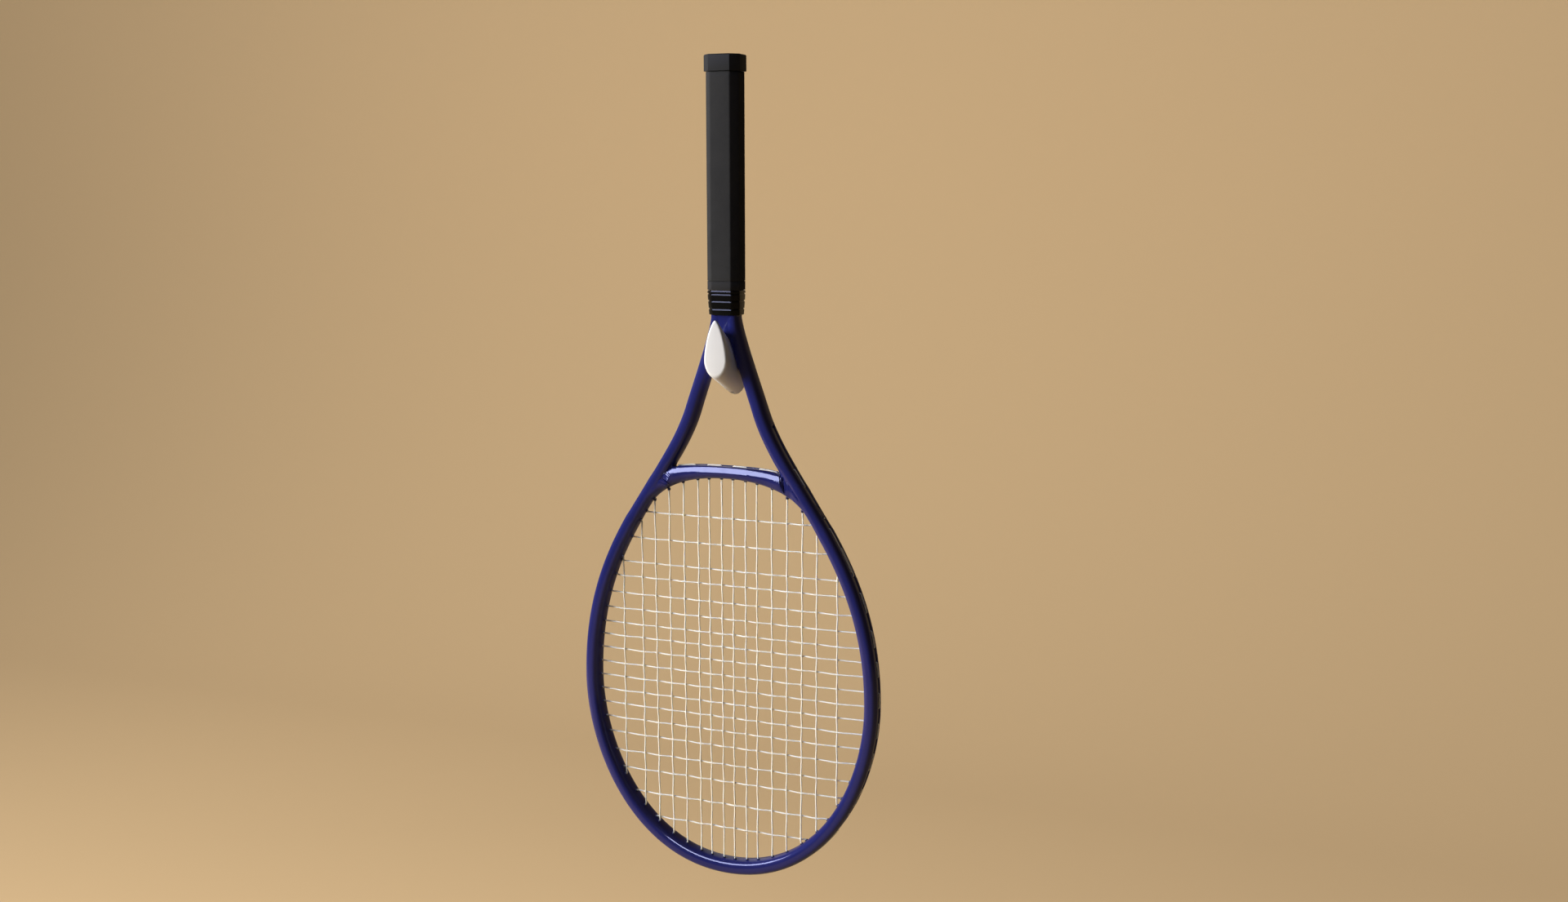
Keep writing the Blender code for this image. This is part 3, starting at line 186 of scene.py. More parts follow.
# Mains as shares of the head's half width, crosses as shares of its length from the bridge
MAIN_SHARES = [0.04003, 0.12834, 0.20879, 0.31358, 0.41719, 0.52159, 0.62794, 0.77198]
CROSS_SHARES = [
    0.11237, 0.17915, 0.23897, 0.27933, 0.32375, 0.36411, 0.40244, 0.43583, 0.47096, 0.50813,
    0.54384, 0.57985, 0.61556, 0.65244, 0.69193, 0.73897, 0.78339, 0.84292, 0.90447,
]
BRIDGE_MAINS = 4
CORNER_MAIN_OUT_DROPS = [-6.6, 7.4]
CORNER_MOUTH_DROP = 1.5 * MM

# Handle
GRIP_WIDTH = 28.5 * MM
GRIP_DEPTH = 23.4 * MM
GRIP_BEVEL = 5.7 * MM
GRIP_EDGE = 0.9 * MM
GRIP_WRAP_PITCH = 17.0 * MM
WRAP_THICKNESS = 1.45 * MM
CAP_HEIGHT = 13.0 * MM
COLLAR_TOP = (27.6 * MM, 22.6 * MM)
COLLAR_END = (25.8 * MM, 18.8 * MM)
COLLAR_BEVEL = 5.2 * MM
COLLAR_RIB_STARTS = [0.0, 0.135, 0.42, 0.74]
COLLAR_RIB_HEIGHT = 0.55 * MM
COLLAR_LEDGE = 0.95 * MM
NECK_SIZE = (22.4 * MM, 15.4 * MM)
CORE_SIZE = (19.0 * MM, 13.0 * MM)
CORE_BEVEL = 2.6 * MM
CORE_H = 27.0 * MM
PALLET_END_H = COLLAR_H + 3.0 * MM
WEB_DEPTH = 15.0 * MM
WEB_END_DEPTH = 4.0 * MM
WEB_LENGTH = 50.0 * MM
WEB_FULL_SHARE = 0.62
WEB_RINGS = 40
WEB_SINK = 0.4 * MM
THROAT_CLEAR = 0.7 * MM
ARCH_POINTS = 24
TAPE_LENGTH = 7.0 * MM
TAPE_THICKNESS = 0.5 * MM

# Camera and stage
CAMERA_PLACE = (0.5034, -1.1791, 0.1561)
CAMERA_AZIMUTH = math.radians(21.3)
CAMERA_ELEVATION = math.radians(9.8)
CAMERA_LENS = 35.87
SENSOR_WIDTH = 36.0
FLOOR_Z = -1.35
STAGE_HALF_WIDTH = 7.0
STAGE_BACK = 4.0
STAGE_SWEEP = 1.6
STAGE_TONE = (0.475, 0.333, 0.184)
STAGE_GLOW = 0.64
METAL_ROUGHNESS = 0.30
LIT_MIDDLE = (0.0, -0.016, -0.09)
WORLD_TONE = (0.166, 0.117, 0.065, 1.0)
AMBIENT = (0.034, 0.038, 0.043, 1.0)


# Node trees

class Wire:
    """One output socket. Sums and products of wires add their Math nodes."""

    def __init__(self, tree, socket):
        self.tree = tree
        self.socket = socket

    def math(self, operation, other, swapped=False):
        pair = {0: other, 1: self} if swapped else {0: self, 1: other}
        return self.tree.node("ShaderNodeMath", pair, operation=operation)

    __add__ = partialmethod(math, "ADD")
    __radd__ = partialmethod(math, "ADD", swapped=True)
    __sub__ = partialmethod(math, "SUBTRACT")
    __mul__ = partialmethod(math, "MULTIPLY")
    __rmul__ = partialmethod(math, "MULTIPLY", swapped=True)
    __truediv__ = partialmethod(math, "DIVIDE")


class Tree:
    """A node tree that is filled by one method."""

    def __init__(self, nodes):
        self.nodes = nodes

    def node(self, kind, inputs=None, output=0, **settings):
        made = self.nodes.nodes.new(kind)
        for name, value in settings.items():
            setattr(made, name, value)
        for key, value in (inputs or {}).items():
            self.feed(made.inputs[key], value)
        return Wire(self, made.outputs[output])

    def feed(self, socket, value):
        if isinstance(value, Wire):
            self.nodes.links.new(value.socket, socket)
        else:
            socket.default_value = value

    def mix(self, share, first, second):
        return self.node("ShaderNodeMix", {0: share, 6: first, 7: second}, 2, data_type="RGBA")

    def seen_directly(self):
        """1 for the rays that show the background: those of the camera, of gloss and through
        glass."""
        rays = self.node("ShaderNodeLightPath").socket.node.outputs
        camera, gloss, glass = (Wire(self, rays[f"Is {kind} Ray"])
                                for kind in ("Camera", "Glossy", "Transmission"))
        return camera.math("MAXIMUM", gloss).math("MAXIMUM", glass)


class Finish(Tree):
    """A material. Constants go on its shader, and what varies is fed to its sockets."""

    def __init__(self, name, colour, roughness, **constants):
        self.material = bpy.data.materials.new(name)
        self.material.use_nodes = True
        super().__init__(self.material.node_tree)
        self.shader = self.nodes.nodes["Principled BSDF"]
        self.set("Base Color", (*colour, 1.0))
        self.set("Roughness", roughness)
        for key, value in constants.items():
            self.set(key.replace("_", " "), value)
        self.material.diffuse_color = (*colour, 1.0)

    def set(self, socket, value):
        self.feed(self.shader.inputs[socket], value)

    def place(self):
        """Object coordinates, in metres."""
        return self.node("ShaderNodeTexCoord", output=3)

    def noise(self, scale, detail=2.0, vector=None, rough=0.5):
        return self.node("ShaderNodeTexNoise", {"Vector": vector or self.place(), "Scale": scale,
                                                "Detail": detail, "Roughness": rough})

    def step(self, value, low, high):
        """Rises smoothly from 0 at low to 1 at high."""
        return self.node("ShaderNodeMapRange", {"Value": value, "From Min": low, "From Max": high},
                         interpolation_type="SMOOTHSTEP")

    def bump(self, height, depth, under=None):
        """A normal raised by a height, on top of another normal where one is given."""
        inputs = {"Height": height, "Distance": depth}
        if under:
            inputs["Normal"] = under
        return self.node("ShaderNodeBump", inputs)

    def tinted(self, colour, other, share):
        """Base colour that drifts between two tones by a share from 0 to 1."""
        self.set("Base Color", self.mix(share, (*colour, 1.0), (*other, 1.0)))


class Pattern(Tree):
    """A Geometry Nodes tree with named inputs, which ends in Realize Instances and Set Material."""

    KINDS = {float: "NodeSocketFloat", int: "NodeSocketInt"}

    def __init__(self, name, **sizes):
        group = bpy.data.node_groups.new(name, "GeometryNodeTree")
        super().__init__(group)
        self.sizes = sizes
        self.keys = {}
        kinds = {key: self.KINDS[type(value)] for key, value in sizes.items()}
        for way, sockets in (("INPUT", {"Geometry": "NodeSocketGeometry"}),
                             ("OUTPUT", {"Geometry": "NodeSocketGeometry"}),
                             ("INPUT", {**kinds, "finish": "NodeSocketMaterial"})):
            for key, kind in sockets.items():
                socket = group.interface.new_socket(key, in_out=way, socket_type=kind)
                self.keys[key] = socket.identifier
        self.entry = group.nodes.new("NodeGroupInput")
        self.exit = group.nodes.new("NodeGroupOutput")

    def size(self, name):
        return Wire(self, self.entry.outputs[name])

    def end(self, geometry):
        solid = self.node("GeometryNodeRealizeInstances", {"Geometry": geometry})
        smooth = self.node("GeometryNodeSetShadeSmooth", {"Geometry": solid})
        done = self.node("GeometryNodeSetMaterial",
                         {"Geometry": smooth, "Material": self.size("finish")})
        self.feed(self.exit.inputs[0], done)
        return self

    def make(self, name, points, edges, finish, aims=None, **sizes):
        """Run the tree over a mesh of points and edges, and give back a plain mesh object."""
        seed = bpy.data.meshes.new(name + "_seed")
        seed.from_pydata([tuple(p) for p in points], edges, [])
        if aims is not None:
            aim = seed.attributes.new("aim", "FLOAT_VECTOR", "POINT")
            aim.data.foreach_set("vector", np.array(aims, dtype=np.float32).ravel())
        holder = bpy.data.objects.new(name + "_seed", seed)
        bpy.context.scene.collection.objects.link(holder)
        modifier = holder.modifiers.new("pattern", "NODES")
        modifier.node_group = self.nodes
        for key, value in {**self.sizes, **sizes}.items():
            modifier[self.keys[key]] = value
        modifier[self.keys["finish"]] = finish.material
        bpy.context.view_layer.update()
        evaluated = holder.evaluated_get(bpy.context.evaluated_depsgraph_get())
        mesh = bpy.data.meshes.new_from_object(evaluated)
        mesh.name = name
        bpy.data.objects.remove(holder, do_unlink=True)
        return link(name, mesh, finish)


def link(name, mesh, finish):
    obj = bpy.data.objects.new(name, mesh)
    bpy.context.scene.collection.objects.link(obj)
    if not mesh.materials:
        mesh.materials.append(finish.material)
    return obj


# Finishes

def lacquer():
    """Deep blue lacquer with the faint drift and orange peel of a sprayed coat. It is sprayed
    from the front and from the back, and lies thinner on the sides."""
    finish = Finish("frame_lacquer", (0.014, 0.018, 0.132), 0.34, Coat_Roughness=0.035,
                    Coat_IOR=1.5, Specular_IOR_Level=0.04)
    drift = finish.noise(14.0, 3.0)
    finish.tinted((0.012, 0.016, 0.124), (0.017, 0.020, 0.141), finish.step(drift, 0.35, 0.65))
    wear = finish.noise(160.0, 4.0, rough=0.65)
    finish.set("Roughness", 0.26 + 0.10 * wear)
    facing = finish.node("ShaderNodeNewGeometry", output=1)
    deep = finish.node("ShaderNodeSeparateXYZ", {"Vector": facing}, 1)
    sprayed = finish.step(deep.math("ABSOLUTE", 0.0), 0.15, 0.75)
    finish.set("Coat Weight", 0.10 + sprayed * 0.50 - 0.08 * finish.step(wear, 0.55, 0.75))
    peel = finish.noise(500.0)
    finish.set("Normal", finish.bump(peel, 0.006 * MM))
    return finish


def grip_skin():
    """Matt black grip: a fine pebble and the faint edges of its winding."""
    finish = Finish("grip", (0.034, 0.033, 0.033), 0.80, Specular_IOR_Level=0.02)
    across = finish.node("ShaderNodeSeparateXYZ", {"Vector": finish.place()})
    _, deep, high = (Wire(finish, part) for part in across.socket.node.outputs)
    turn = (deep + RACKET_FROM_WALL).math("ARCTAN2", across)
    rise = high / GRIP_WRAP_PITCH + turn / (2 * math.pi)
    phase = rise.math("FRACT", 0.0)
    lap = finish.step(phase, 0.0, 0.035) - finish.step(phase, 0.10, 0.9)
    pebble = finish.node("ShaderNodeTexVoronoi", {"Vector": finish.place(), "Scale": 1500.0})
    rub = finish.noise(45.0, 4.0)
    finish.tinted((0.031, 0.0305, 0.030), (0.037, 0.0365, 0.036), finish.step(rub, 0.3, 0.7))
    finish.set("Roughness", 0.70 + 0.16 * rub)
    grain = finish.bump(pebble, 0.05 * MM)
    finish.set("Normal", finish.bump(lap, 0.05 * MM, grain))
    return finish


def moulded(name, colour, rough, tones, drift, gloss, grain, band=None, **constants):
    """A plain finish: two tones that drift into each other, uneven gloss and a fine grain.

    drift is a noise's scale and detail, gloss the lowest roughness and what the drift adds to it,
    grain a noise's scale, detail and depth in mm, and band where one tone turns to the other."""
    finish = Finish(name, colour, rough, **constants)
    share = finish.noise(*drift)
    finish.tinted(*tones, finish.step(share, *band) if band else share)
    finish.set("Roughness", gloss[0] + gloss[1] * share)
    finish.set("Normal", finish.bump(finish.noise(*grain[:2]), grain[2] * MM))
    return finish


def nylon():
    """Satin blue-black nylon of the grommet strips."""
    return moulded("grommet_nylon", (0.016, 0.017, 0.075), 0.45,
                   ((0.013, 0.014, 0.062), (0.020, 0.021, 0.085)), (60.0, 3.0), (0.40, 0.16),
                   (2600.0, 2.0, 0.02))


def string_gut():
    """Smooth off-white string, a little yellower and duller where the ball has rubbed it."""
    finish = moulded("string", (0.95, 0.88, 0.79), 0.48, ((0.96, 0.89, 0.80), (0.91, 0.83, 0.72)),
                     (22.0, 3.0), (0.40, 0.16), (1200.0, 2.0, 0.015), (0.35, 0.7),
                     Specular_IOR_Level=0.3, Subsurface_Weight=0.8, Subsurface_Scale=1.6 * MM)
    finish.set("Subsurface Radius", (1.0, 0.9, 0.75))
    return finish


def tape_vinyl():
    """Matt black tape, rubbed a little."""
    return moulded("tape", (0.034, 0.033, 0.033), 0.78,
                   ((0.032, 0.031, 0.031), (0.036, 0.035, 0.035)), (70.0, 3.0), (0.70, 0.14),
                   (1800.0, 2.0, 0.02), Specular_IOR_Level=0.02)


def collar_rubber():
    """Soft black rubber with a dusty bloom."""
    return moulded("rubber", (0.006,) * 3, 0.18, ((0.005,) * 3, (0.009,) * 3),
                   (90.0, 4.0), (0.13, 0.10), (2200.0, 2.0, 0.02), (0.4, 0.8),
                   Specular_IOR_Level=0.10)


def cap_moulding():
    """Matt black moulded plastic with a spark-eroded grain."""
    return moulded("cap_plastic", (0.030, 0.030, 0.029), 0.66,
                   ((0.028, 0.028, 0.027), (0.032, 0.032, 0.031)), (55.0, 3.0), (0.48, 0.14),
                   (2400.0, 2.0, 0.03), Specular_IOR_Level=0.025)


def peg_moulding():
    """Satin white moulding, with a breath of dust on it."""
    return moulded("peg_white", (0.80, 0.79, 0.785), 0.42,
                   ((0.81, 0.80, 0.795), (0.765, 0.755, 0.745)), (38.0, 4.0), (0.36, 0.16),
                   (1500.0, 2.0, 0.012), (0.35, 0.85), Specular_IOR_Level=0.4)


def hidden_moulding(name, colour, rough):
    """Plain moulded plastic or foam of a piece that hardly shows."""
    return moulded(name, colour, rough, (colour, tuple(0.82 * c for c in colour)), (48.0, 3.0),
                   (rough - 0.08, 0.16), (1400.0, 3.0, 0.03))


def metal(name, colour):
    """Plated metal with turning marks and a slight tarnish."""
    finish = Finish(name, colour, METAL_ROUGHNESS, Metallic=1.0)
    tarnish = finish.noise(210.0, 4.0)
    duller = tuple(0.62 * c for c in colour)
    finish.tinted(colour, duller, finish.step(tarnish, 0.45, 0.8))
    finish.set("Roughness", METAL_ROUGHNESS - 0.08 + 0.22 * tarnish)
    drawn = finish.node("ShaderNodeMapping", {"Vector": finish.place(), "Scale": (1.0, 9.0, 1.0)})
    finish.set("Normal", finish.bump(finish.noise(900.0, 2.0, drawn), 0.01 * MM))
    return finish


def stage_paint():
    """Matt paint that is seen at its written tone, and darker in a shadow."""
    finish = Finish("stage_paint", STAGE_TONE, 0.95, Specular_IOR_Level=0.0)
    glow = (*(STAGE_GLOW * c for c in STAGE_TONE), 1.0)
    finish.set("Emission Color", finish.mix(finish.seen_directly(), (0.0, 0.0, 0.0, 1.0), glow))
    finish.set("Emission Strength", 1.0)
    return finish


# Outline of the racket

ARM_SLOPE = np.array([math.sin(ARM_ANGLE), math.cos(ARM_ANGLE)])
DOWN = np.array([0.0, 1.0])
ARM_END = np.array([ARM_MIDDLE_X, ARM_MIDDLE_H])
WIDEST = np.array([HEAD_HALF_WIDTH, WIDEST_H])
SHOULDER = (ARM_END, ARM_END + SHOULDER_PULL * ARM_SLOPE, WIDEST - SIDE_PULL_UP * DOWN, WIDEST)


def cubic(t, a, b, c, d):
    return (1 - t) ** 3 * a + 3 * (1 - t) ** 2 * t * b + 3 * (1 - t) * t ** 2 * c + t ** 3 * d


def quadratic(t, a, b, c):
    return (1 - t) ** 2 * a + 2 * t * (1 - t) * b + t ** 2 * c


def cubic_points(count, *corners):
    """Points of one cubic from start to end, without its last point."""
    return cubic(np.linspace(0.0, 1.0, count, endpoint=False)[:, None], *corners)


def mirrored(points):
    return points * np.array([-1.0, 1.0])


def right_tube_path():
    """Middle of the beam, from the throat down the right side to the tip."""
    start = np.array([ARM_START_X, ARM_START_H])
    tip = np.array([0.0, TIP_H])
    arm = cubic_points(60, start, start + ARM_START_PULL * DOWN,
                       ARM_END - ARM_END_PULL * ARM_SLOPE, ARM_END)
    lower = cubic_points(140, WIDEST, WIDEST + SIDE_PULL_DOWN * DOWN,
                         tip + np.array([TIP_PULL, 0.0]), tip)
    return np.vstack([arm, cubic_points(160, *SHOULDER), lower, [tip]])


def bridge_path():
    """Middle of the throat bridge, from left to right. It runs into the shoulders' slope."""
    a, b, c, d = SHOULDER
    along = quadratic(BRIDGE_JOIN, b - a, c - b, d - c)
    along /= np.linalg.norm(along)
    end = cubic(BRIDGE_JOIN, *SHOULDER)
    crown = np.array([0.0, BRIDGE_H])
    right = cubic_points(60, crown, crown + np.array([BRIDGE_PULL_SHARE * end[0], 0.0]),
                         end - BRIDGE_END_PULL * along, end)
    right = np.vstack([right, [end]])
    return np.vstack([mirrored(right[:0:-1]), right])


def eased(value, low, high):
    """Rises smoothly from 0 at low to 1 at high."""
    share = np.clip((value - low) / (high - low), 0.0, 1.0)
    return share * share * (3 - 2 * share)


class Beam:
    """A run of beam. Its places are a length along it and an offset out from its middle. A
    spread widens it outwards by as much, and leaves its inner edge where it is."""

    def __init__(self, path, spread=0.0):
        self.path = path
        x = np.abs(path[:, 0])
        self.spread = spread * np.minimum(x, BRIDGE_SPREAD_SPAN[0]) ** 2
        self.spread *= 1 - eased(x, *BRIDGE_SPREAD_SPAN)
        steps = np.diff(path, axis=0)
        lengths = np.linalg.norm(steps, axis=1)
        steps = steps / lengths[:, None]
        along = np.vstack([steps[:1], steps[:-1] + steps[1:], steps[-1:]])
        along /= np.linalg.norm(along, axis=1)[:, None]
        self.outward = np.stack([along[:, 1], -along[:, 0]], axis=1)
        self.length = np.concatenate([[0.0], np.cumsum(lengths)])

    def place(self, s, offset=0.0):
        reach = offset + self.spread * max(0.5 + offset / BRIDGE_WIDTH, 0.0)
        edge = self.path + reach[:, None] * self.outward
        return np.array([np.interp(s, self.length, edge[:, k]) for k in (0, 1)])

    def normal(self, s):
        found = np.array([np.interp(s, self.length, self.outward[:, k]) for k in (0, 1)])
        return found / np.linalg.norm(found)

    def where(self, axis, value, offset, start, end):
        """Length between start and end at which the offset edge reaches an x (0) or an h (1)."""
        lengths = np.linspace(start, end, 600)
        reached = np.array([self.place(s, offset)[axis] for s in lengths])
        order = np.argsort(reached)
        return float(np.interp(value, reached[order], lengths[order]))

    def follow(self, start, end, offset):
        """Places between two lengths, without the two ends."""
        count = int(abs(end - start) // LOOP_STEP)
        return [self.place(s, offset) for s in np.linspace(start, end, count + 2)[1:-1]]


RIGHT_PATH = right_tube_path()
HOOP = Beam(np.vstack([RIGHT_PATH, mirrored(RIGHT_PATH)[-2::-1]]))
BRIDGE = Beam(bridge_path(), BRIDGE_SPREAD)
TIP_LENGTH = HOOP.length[len(RIGHT_PATH) - 1]
HALF_BRIDGE = BRIDGE.length[-1] / 2


def hoop_at(h, offset=0.0):
    """Length down the right side at which the hoop's offset edge reaches h."""
    return HOOP.where(1, h, offset, 0.0, TIP_LENGTH)


def bridge_start(end_gap):
    """Length along the bridge at which its channel starts, and a gap more."""
    x = end_gap - THROAT_CHANNEL_SHARE * BRIDGE.path[-1, 0]
    return BRIDGE.where(0, x, 0.0, 0.0, HALF_BRIDGE)


WIDEST_LENGTH = hoop_at(WIDEST_H)
CHANNEL_START = hoop_at(CHANNEL_START_H)


def seat_of(node):
    """Height of the racket's butt end, read from the butt cap's solid."""
    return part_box(node)[1].z


def in_space(flat, level, butt):
    """A place (x, h) of the racket and its depth from the mid-plane, in the part's frame."""
    return np.array([flat[0], level - RACKET_FROM_WALL, butt - flat[1]])


# Meshes from rings

def loft(rings, closed=True, caps=(True, True)):
    """Vertices and faces of a skin over rings of equal count, facing out if they turn left."""
    count = len(rings[0])
    points = [tuple(p) for ring in rings for p in ring]
    faces = []
    for k in range(len(rings) - 1):
        for i in range(count if closed else count - 1):
            j = (i + 1) % count
            faces.append((k * count + i, k * count + j, (k + 1) * count + j, (k + 1) * count + i))
    if caps[0]:
        faces.append(tuple(range(count))[::-1])
    if caps[1]:
        faces.append(tuple(range((len(rings) - 1) * count, len(rings) * count)))
    return points, faces


def mesh_of(name, points, faces, sharp):
    mesh = bpy.data.meshes.new(name)
    mesh.from_pydata(points, [], faces)
    bm = bmesh.new()
    bm.from_mesh(mesh)
    bmesh.ops.remove_doubles(bm, verts=bm.verts, dist=WELD_REACH)
    bmesh.ops.recalc_face_normals(bm, faces=bm.faces)
    bm.to_mesh(mesh)
    bm.free()
    mesh.shade_smooth()
    mesh.set_sharp_from_angle(angle=math.radians(sharp))
    return mesh


def piece(name, rings, finish, sharp=38.0, **how):
    return link(name, mesh_of(name, *loft(rings, **how), sharp=sharp), finish)


def boolean(target, other, operation):
    modifier = target.modifiers.new(operation.lower(), "BOOLEAN")
    modifier.operation = operation
    modifier.object = other
    modifier.solver = "EXACT"


def cut(target, cutter):
    """The target without the cutter, which is used up."""
    boolean(target, cutter, "DIFFERENCE")
    applied(target)
    dropped(cutter)


def applied(obj):
    """The object's evaluated mesh on the object itself, with its modifiers gone."""
    bpy.context.view_layer.update()
    evaluated = obj.evaluated_get(bpy.context.evaluated_depsgraph_get())
    mesh = bpy.data.meshes.new_from_object(evaluated)
    obj.modifiers.clear()
    old = obj.data
    obj.data = mesh
    bpy.data.meshes.remove(old)


def dropped(*objects):
    for obj in objects:
        bpy.data.objects.remove(obj, do_unlink=True)


def eased_copy(frame, node, name, finish, width=0.2 * MM, angle=30.0, segments=2):
    """A copy of a solid with its hard edges rounded a little."""
    bm = bmesh.new()
    bm.from_mesh(frame["nodes"][node].data)
    bmesh.ops.remove_doubles(bm, verts=bm.verts, dist=2 * WELD_REACH)
    bmesh.ops.dissolve_limit(bm, angle_limit=math.radians(1.0), verts=bm.verts, edges=bm.edges)
    mesh = bpy.data.meshes.new(name)
    bm.to_mesh(mesh)
    bm.free()
    mesh.materials.clear()
    obj = link(name, mesh, finish)
    bevel = obj.modifiers.new("edges", "BEVEL")
    bevel.width = width
    bevel.segments = segments
    bevel.limit_method = "ANGLE"
    bevel.angle_limit = math.radians(angle)
    applied(obj)
    obj.data.shade_smooth()
    obj.data.set_sharp_from_angle(angle=math.radians(40))
    return obj


# Peg

def peg_height(distance):
    return PEG_HEIGHT - PEG_TOP_TAPER * (PEG_DEPTH - distance)


def peg_bottom(distance):
    return distance * math.tan(PEG_RISE_ANGLE) - peg_height(0.0) / 2


def peg_half_width(up, height):
    up = np.clip(up, 0.0, height)
    to_tip = np.maximum(up - PEG_BULB_HEIGHT, 0.0) / (height - PEG_BULB_HEIGHT)
    below = np.maximum(1.0 - up / PEG_BULB_HEIGHT, 0.0)
    upper = (1.0 - to_tip ** PEG_FLANK_CURVE) ** PEG_TIP_BLUNTNESS
    return PEG_WIDTH / 2 * upper * np.sqrt(np.maximum(1.0 - below ** 2, 0.0))


def peg_edge(up, height, inset):
    """The peg's right edge at some heights up it, as (x, up), drawn in by an inset."""
    right = np.stack([peg_half_width(up, height), up], axis=1)
    ahead = np.gradient(right, axis=0)
    ahead /= np.linalg.norm(ahead, axis=1)[:, None]
    return right + inset * np.stack([ahead[:, 1], -ahead[:, 0]], axis=1)


def teardrop(distance, inset):
    """Ring of the peg at a distance from the wall, drawn in by an inset."""
    height = peg_height(distance)
    right = peg_edge(height * (1 + np.cos(np.linspace(0.0, np.pi, 900))) / 2, height, inset)
    inside = np.nonzero(right[:, 0] > 1e-6)[0]
    right = right[inside[0] - 1:inside[-1] + 2]
    right[0, 0] = right[-1, 0] = 0.0
    run = np.concatenate([[0.0], np.cumsum(np.linalg.norm(np.diff(right, axis=0), axis=1))])
    even = np.linspace(0.0, run[-1], PEG_SIDE_POINTS)
    right = np.stack([np.interp(even, run, right[:, k]) for k in (0, 1)], axis=1)
    outline = np.vstack([right, mirrored(right[-2:0:-1])])
    return [(x, -distance, peg_bottom(distance) + up) for x, up in outline]


def make_peg(finish):
    """The hollow moulding: inner floor, inner wall, back rim, flank, rounded edge, front."""
    floor = PEG_DEPTH - PEG_WALL
    layers = [(floor, PEG_WALL + 0.8 * MM), (floor - 0.3 * MM, PEG_WALL + 0.2 * MM),
              (floor - 1.0 * MM, PEG_WALL)]
    layers += [(d, PEG_WALL) for d in np.linspace(floor - 1.5 * MM, SEAT_GAP + 0.2 * MM, 8)]
    layers += [(SEAT_GAP, PEG_WALL - 0.25 * MM), (SEAT_GAP, 0.25 * MM), (SEAT_GAP + 0.2 * MM, 0.0)]
    start = PEG_DEPTH - PEG_EDGE_RADIUS
    layers += [(d, 0.0) for d in np.linspace(2 * MM, start, 12)[:-1]]
    for angle in np.radians(np.linspace(0.0, 90.0, 9)):
        layers.append((start + PEG_EDGE_RADIUS * math.sin(angle),
                       PEG_EDGE_RADIUS * (1 - math.cos(angle))))
    peg = piece("peg_cover", [teardrop(*layer) for layer in layers], finish, sharp=50.0)
    z = peg_bottom(5 * MM)
    hole = piece("lock_hole", [ring_about((0, -5 * MM, z + h), r, 40) for h, r in
                               ((-3 * MM, 2.4 * MM), (0.4 * MM, 1.8 * MM), (5 * MM, 1.8 * MM))],
                 finish)
    cut(peg, hole)
    peg.data.set_sharp_from_angle(angle=math.radians(50))
    return peg


def ring_about(centre, radius, count, axis="Z"):
    angles = np.linspace(0.0, 2 * math.pi, count, endpoint=False)
    c, s = radius * np.cos(angles), radius * np.sin(angles)
    x, y, z = centre
    if axis == "Z":
        return [(x + a, y + b, z) for a, b in zip(c, s)]
    return [(x + a, y, z + b) for a, b in zip(c, s)]


def turned(profile, z):
    """Rings about a level axis into the wall, from (distance into the wall, radius)."""
    return [ring_about((0.0, y, z), radius, 48, "Y") for y, radius in profile]


def make_screw(label, z, steel, tube):
    """Pan-head screw with a slot, a coiled thread and a point."""
    face = -BRACKET_THICKNESS
    back = face + SCREW_HEAD_HEIGHT
    core = SCREW_RADIUS * 0.78
    end = SCREW_REACH
    head = SCREW_HEAD_RADIUS
    profile = [(face, 0.2 * MM), (face, head * 0.55), (face + 0.25 * MM, head * 0.8),
               (face + 1.0 * MM, head * 0.96), (back - 0.5 * MM, head), (back, head - 0.3 * MM),
               (back, core), (end - 6 * MM, core), (end - 1.2 * MM, core * 0.45),
               (end, 0.12 * MM)]
    screw = piece(f"wall_screw_{label}_turned", turned(profile, z), steel, sharp=30.0)
    slot = piece("slot", [[(x, y, z + 0.45 * MM * k) for x, y in
                           ((-6 * MM, face - 2 * MM), (6 * MM, face - 2 * MM),
                            (6 * MM, face + 1.1 * MM), (-6 * MM, face + 1.1 * MM))]
                          for k in (-1, 1)], steel)
    cut(screw, slot)
    turns = (end - 1.5 * MM - back - 3 * MM) / THREAD_PITCH
    t = np.linspace(0.0, turns, int(turns * 28))
    y = back + 3 * MM + t * THREAD_PITCH
    reach = core + 0.15 * MM - np.clip((y - (end - 6 * MM)) / (6 * MM), 0, 1) * core * 0.6
    helix = [(r * math.cos(2 * math.pi * a), b, z + r * math.sin(2 * math.pi * a))
             for a, b, r in zip(t, y, reach)]
    thread = tube.make("thread", helix, chain(len(helix)), steel, radius=0.24 * MM, sides=5)
    return merged(screw, thread)


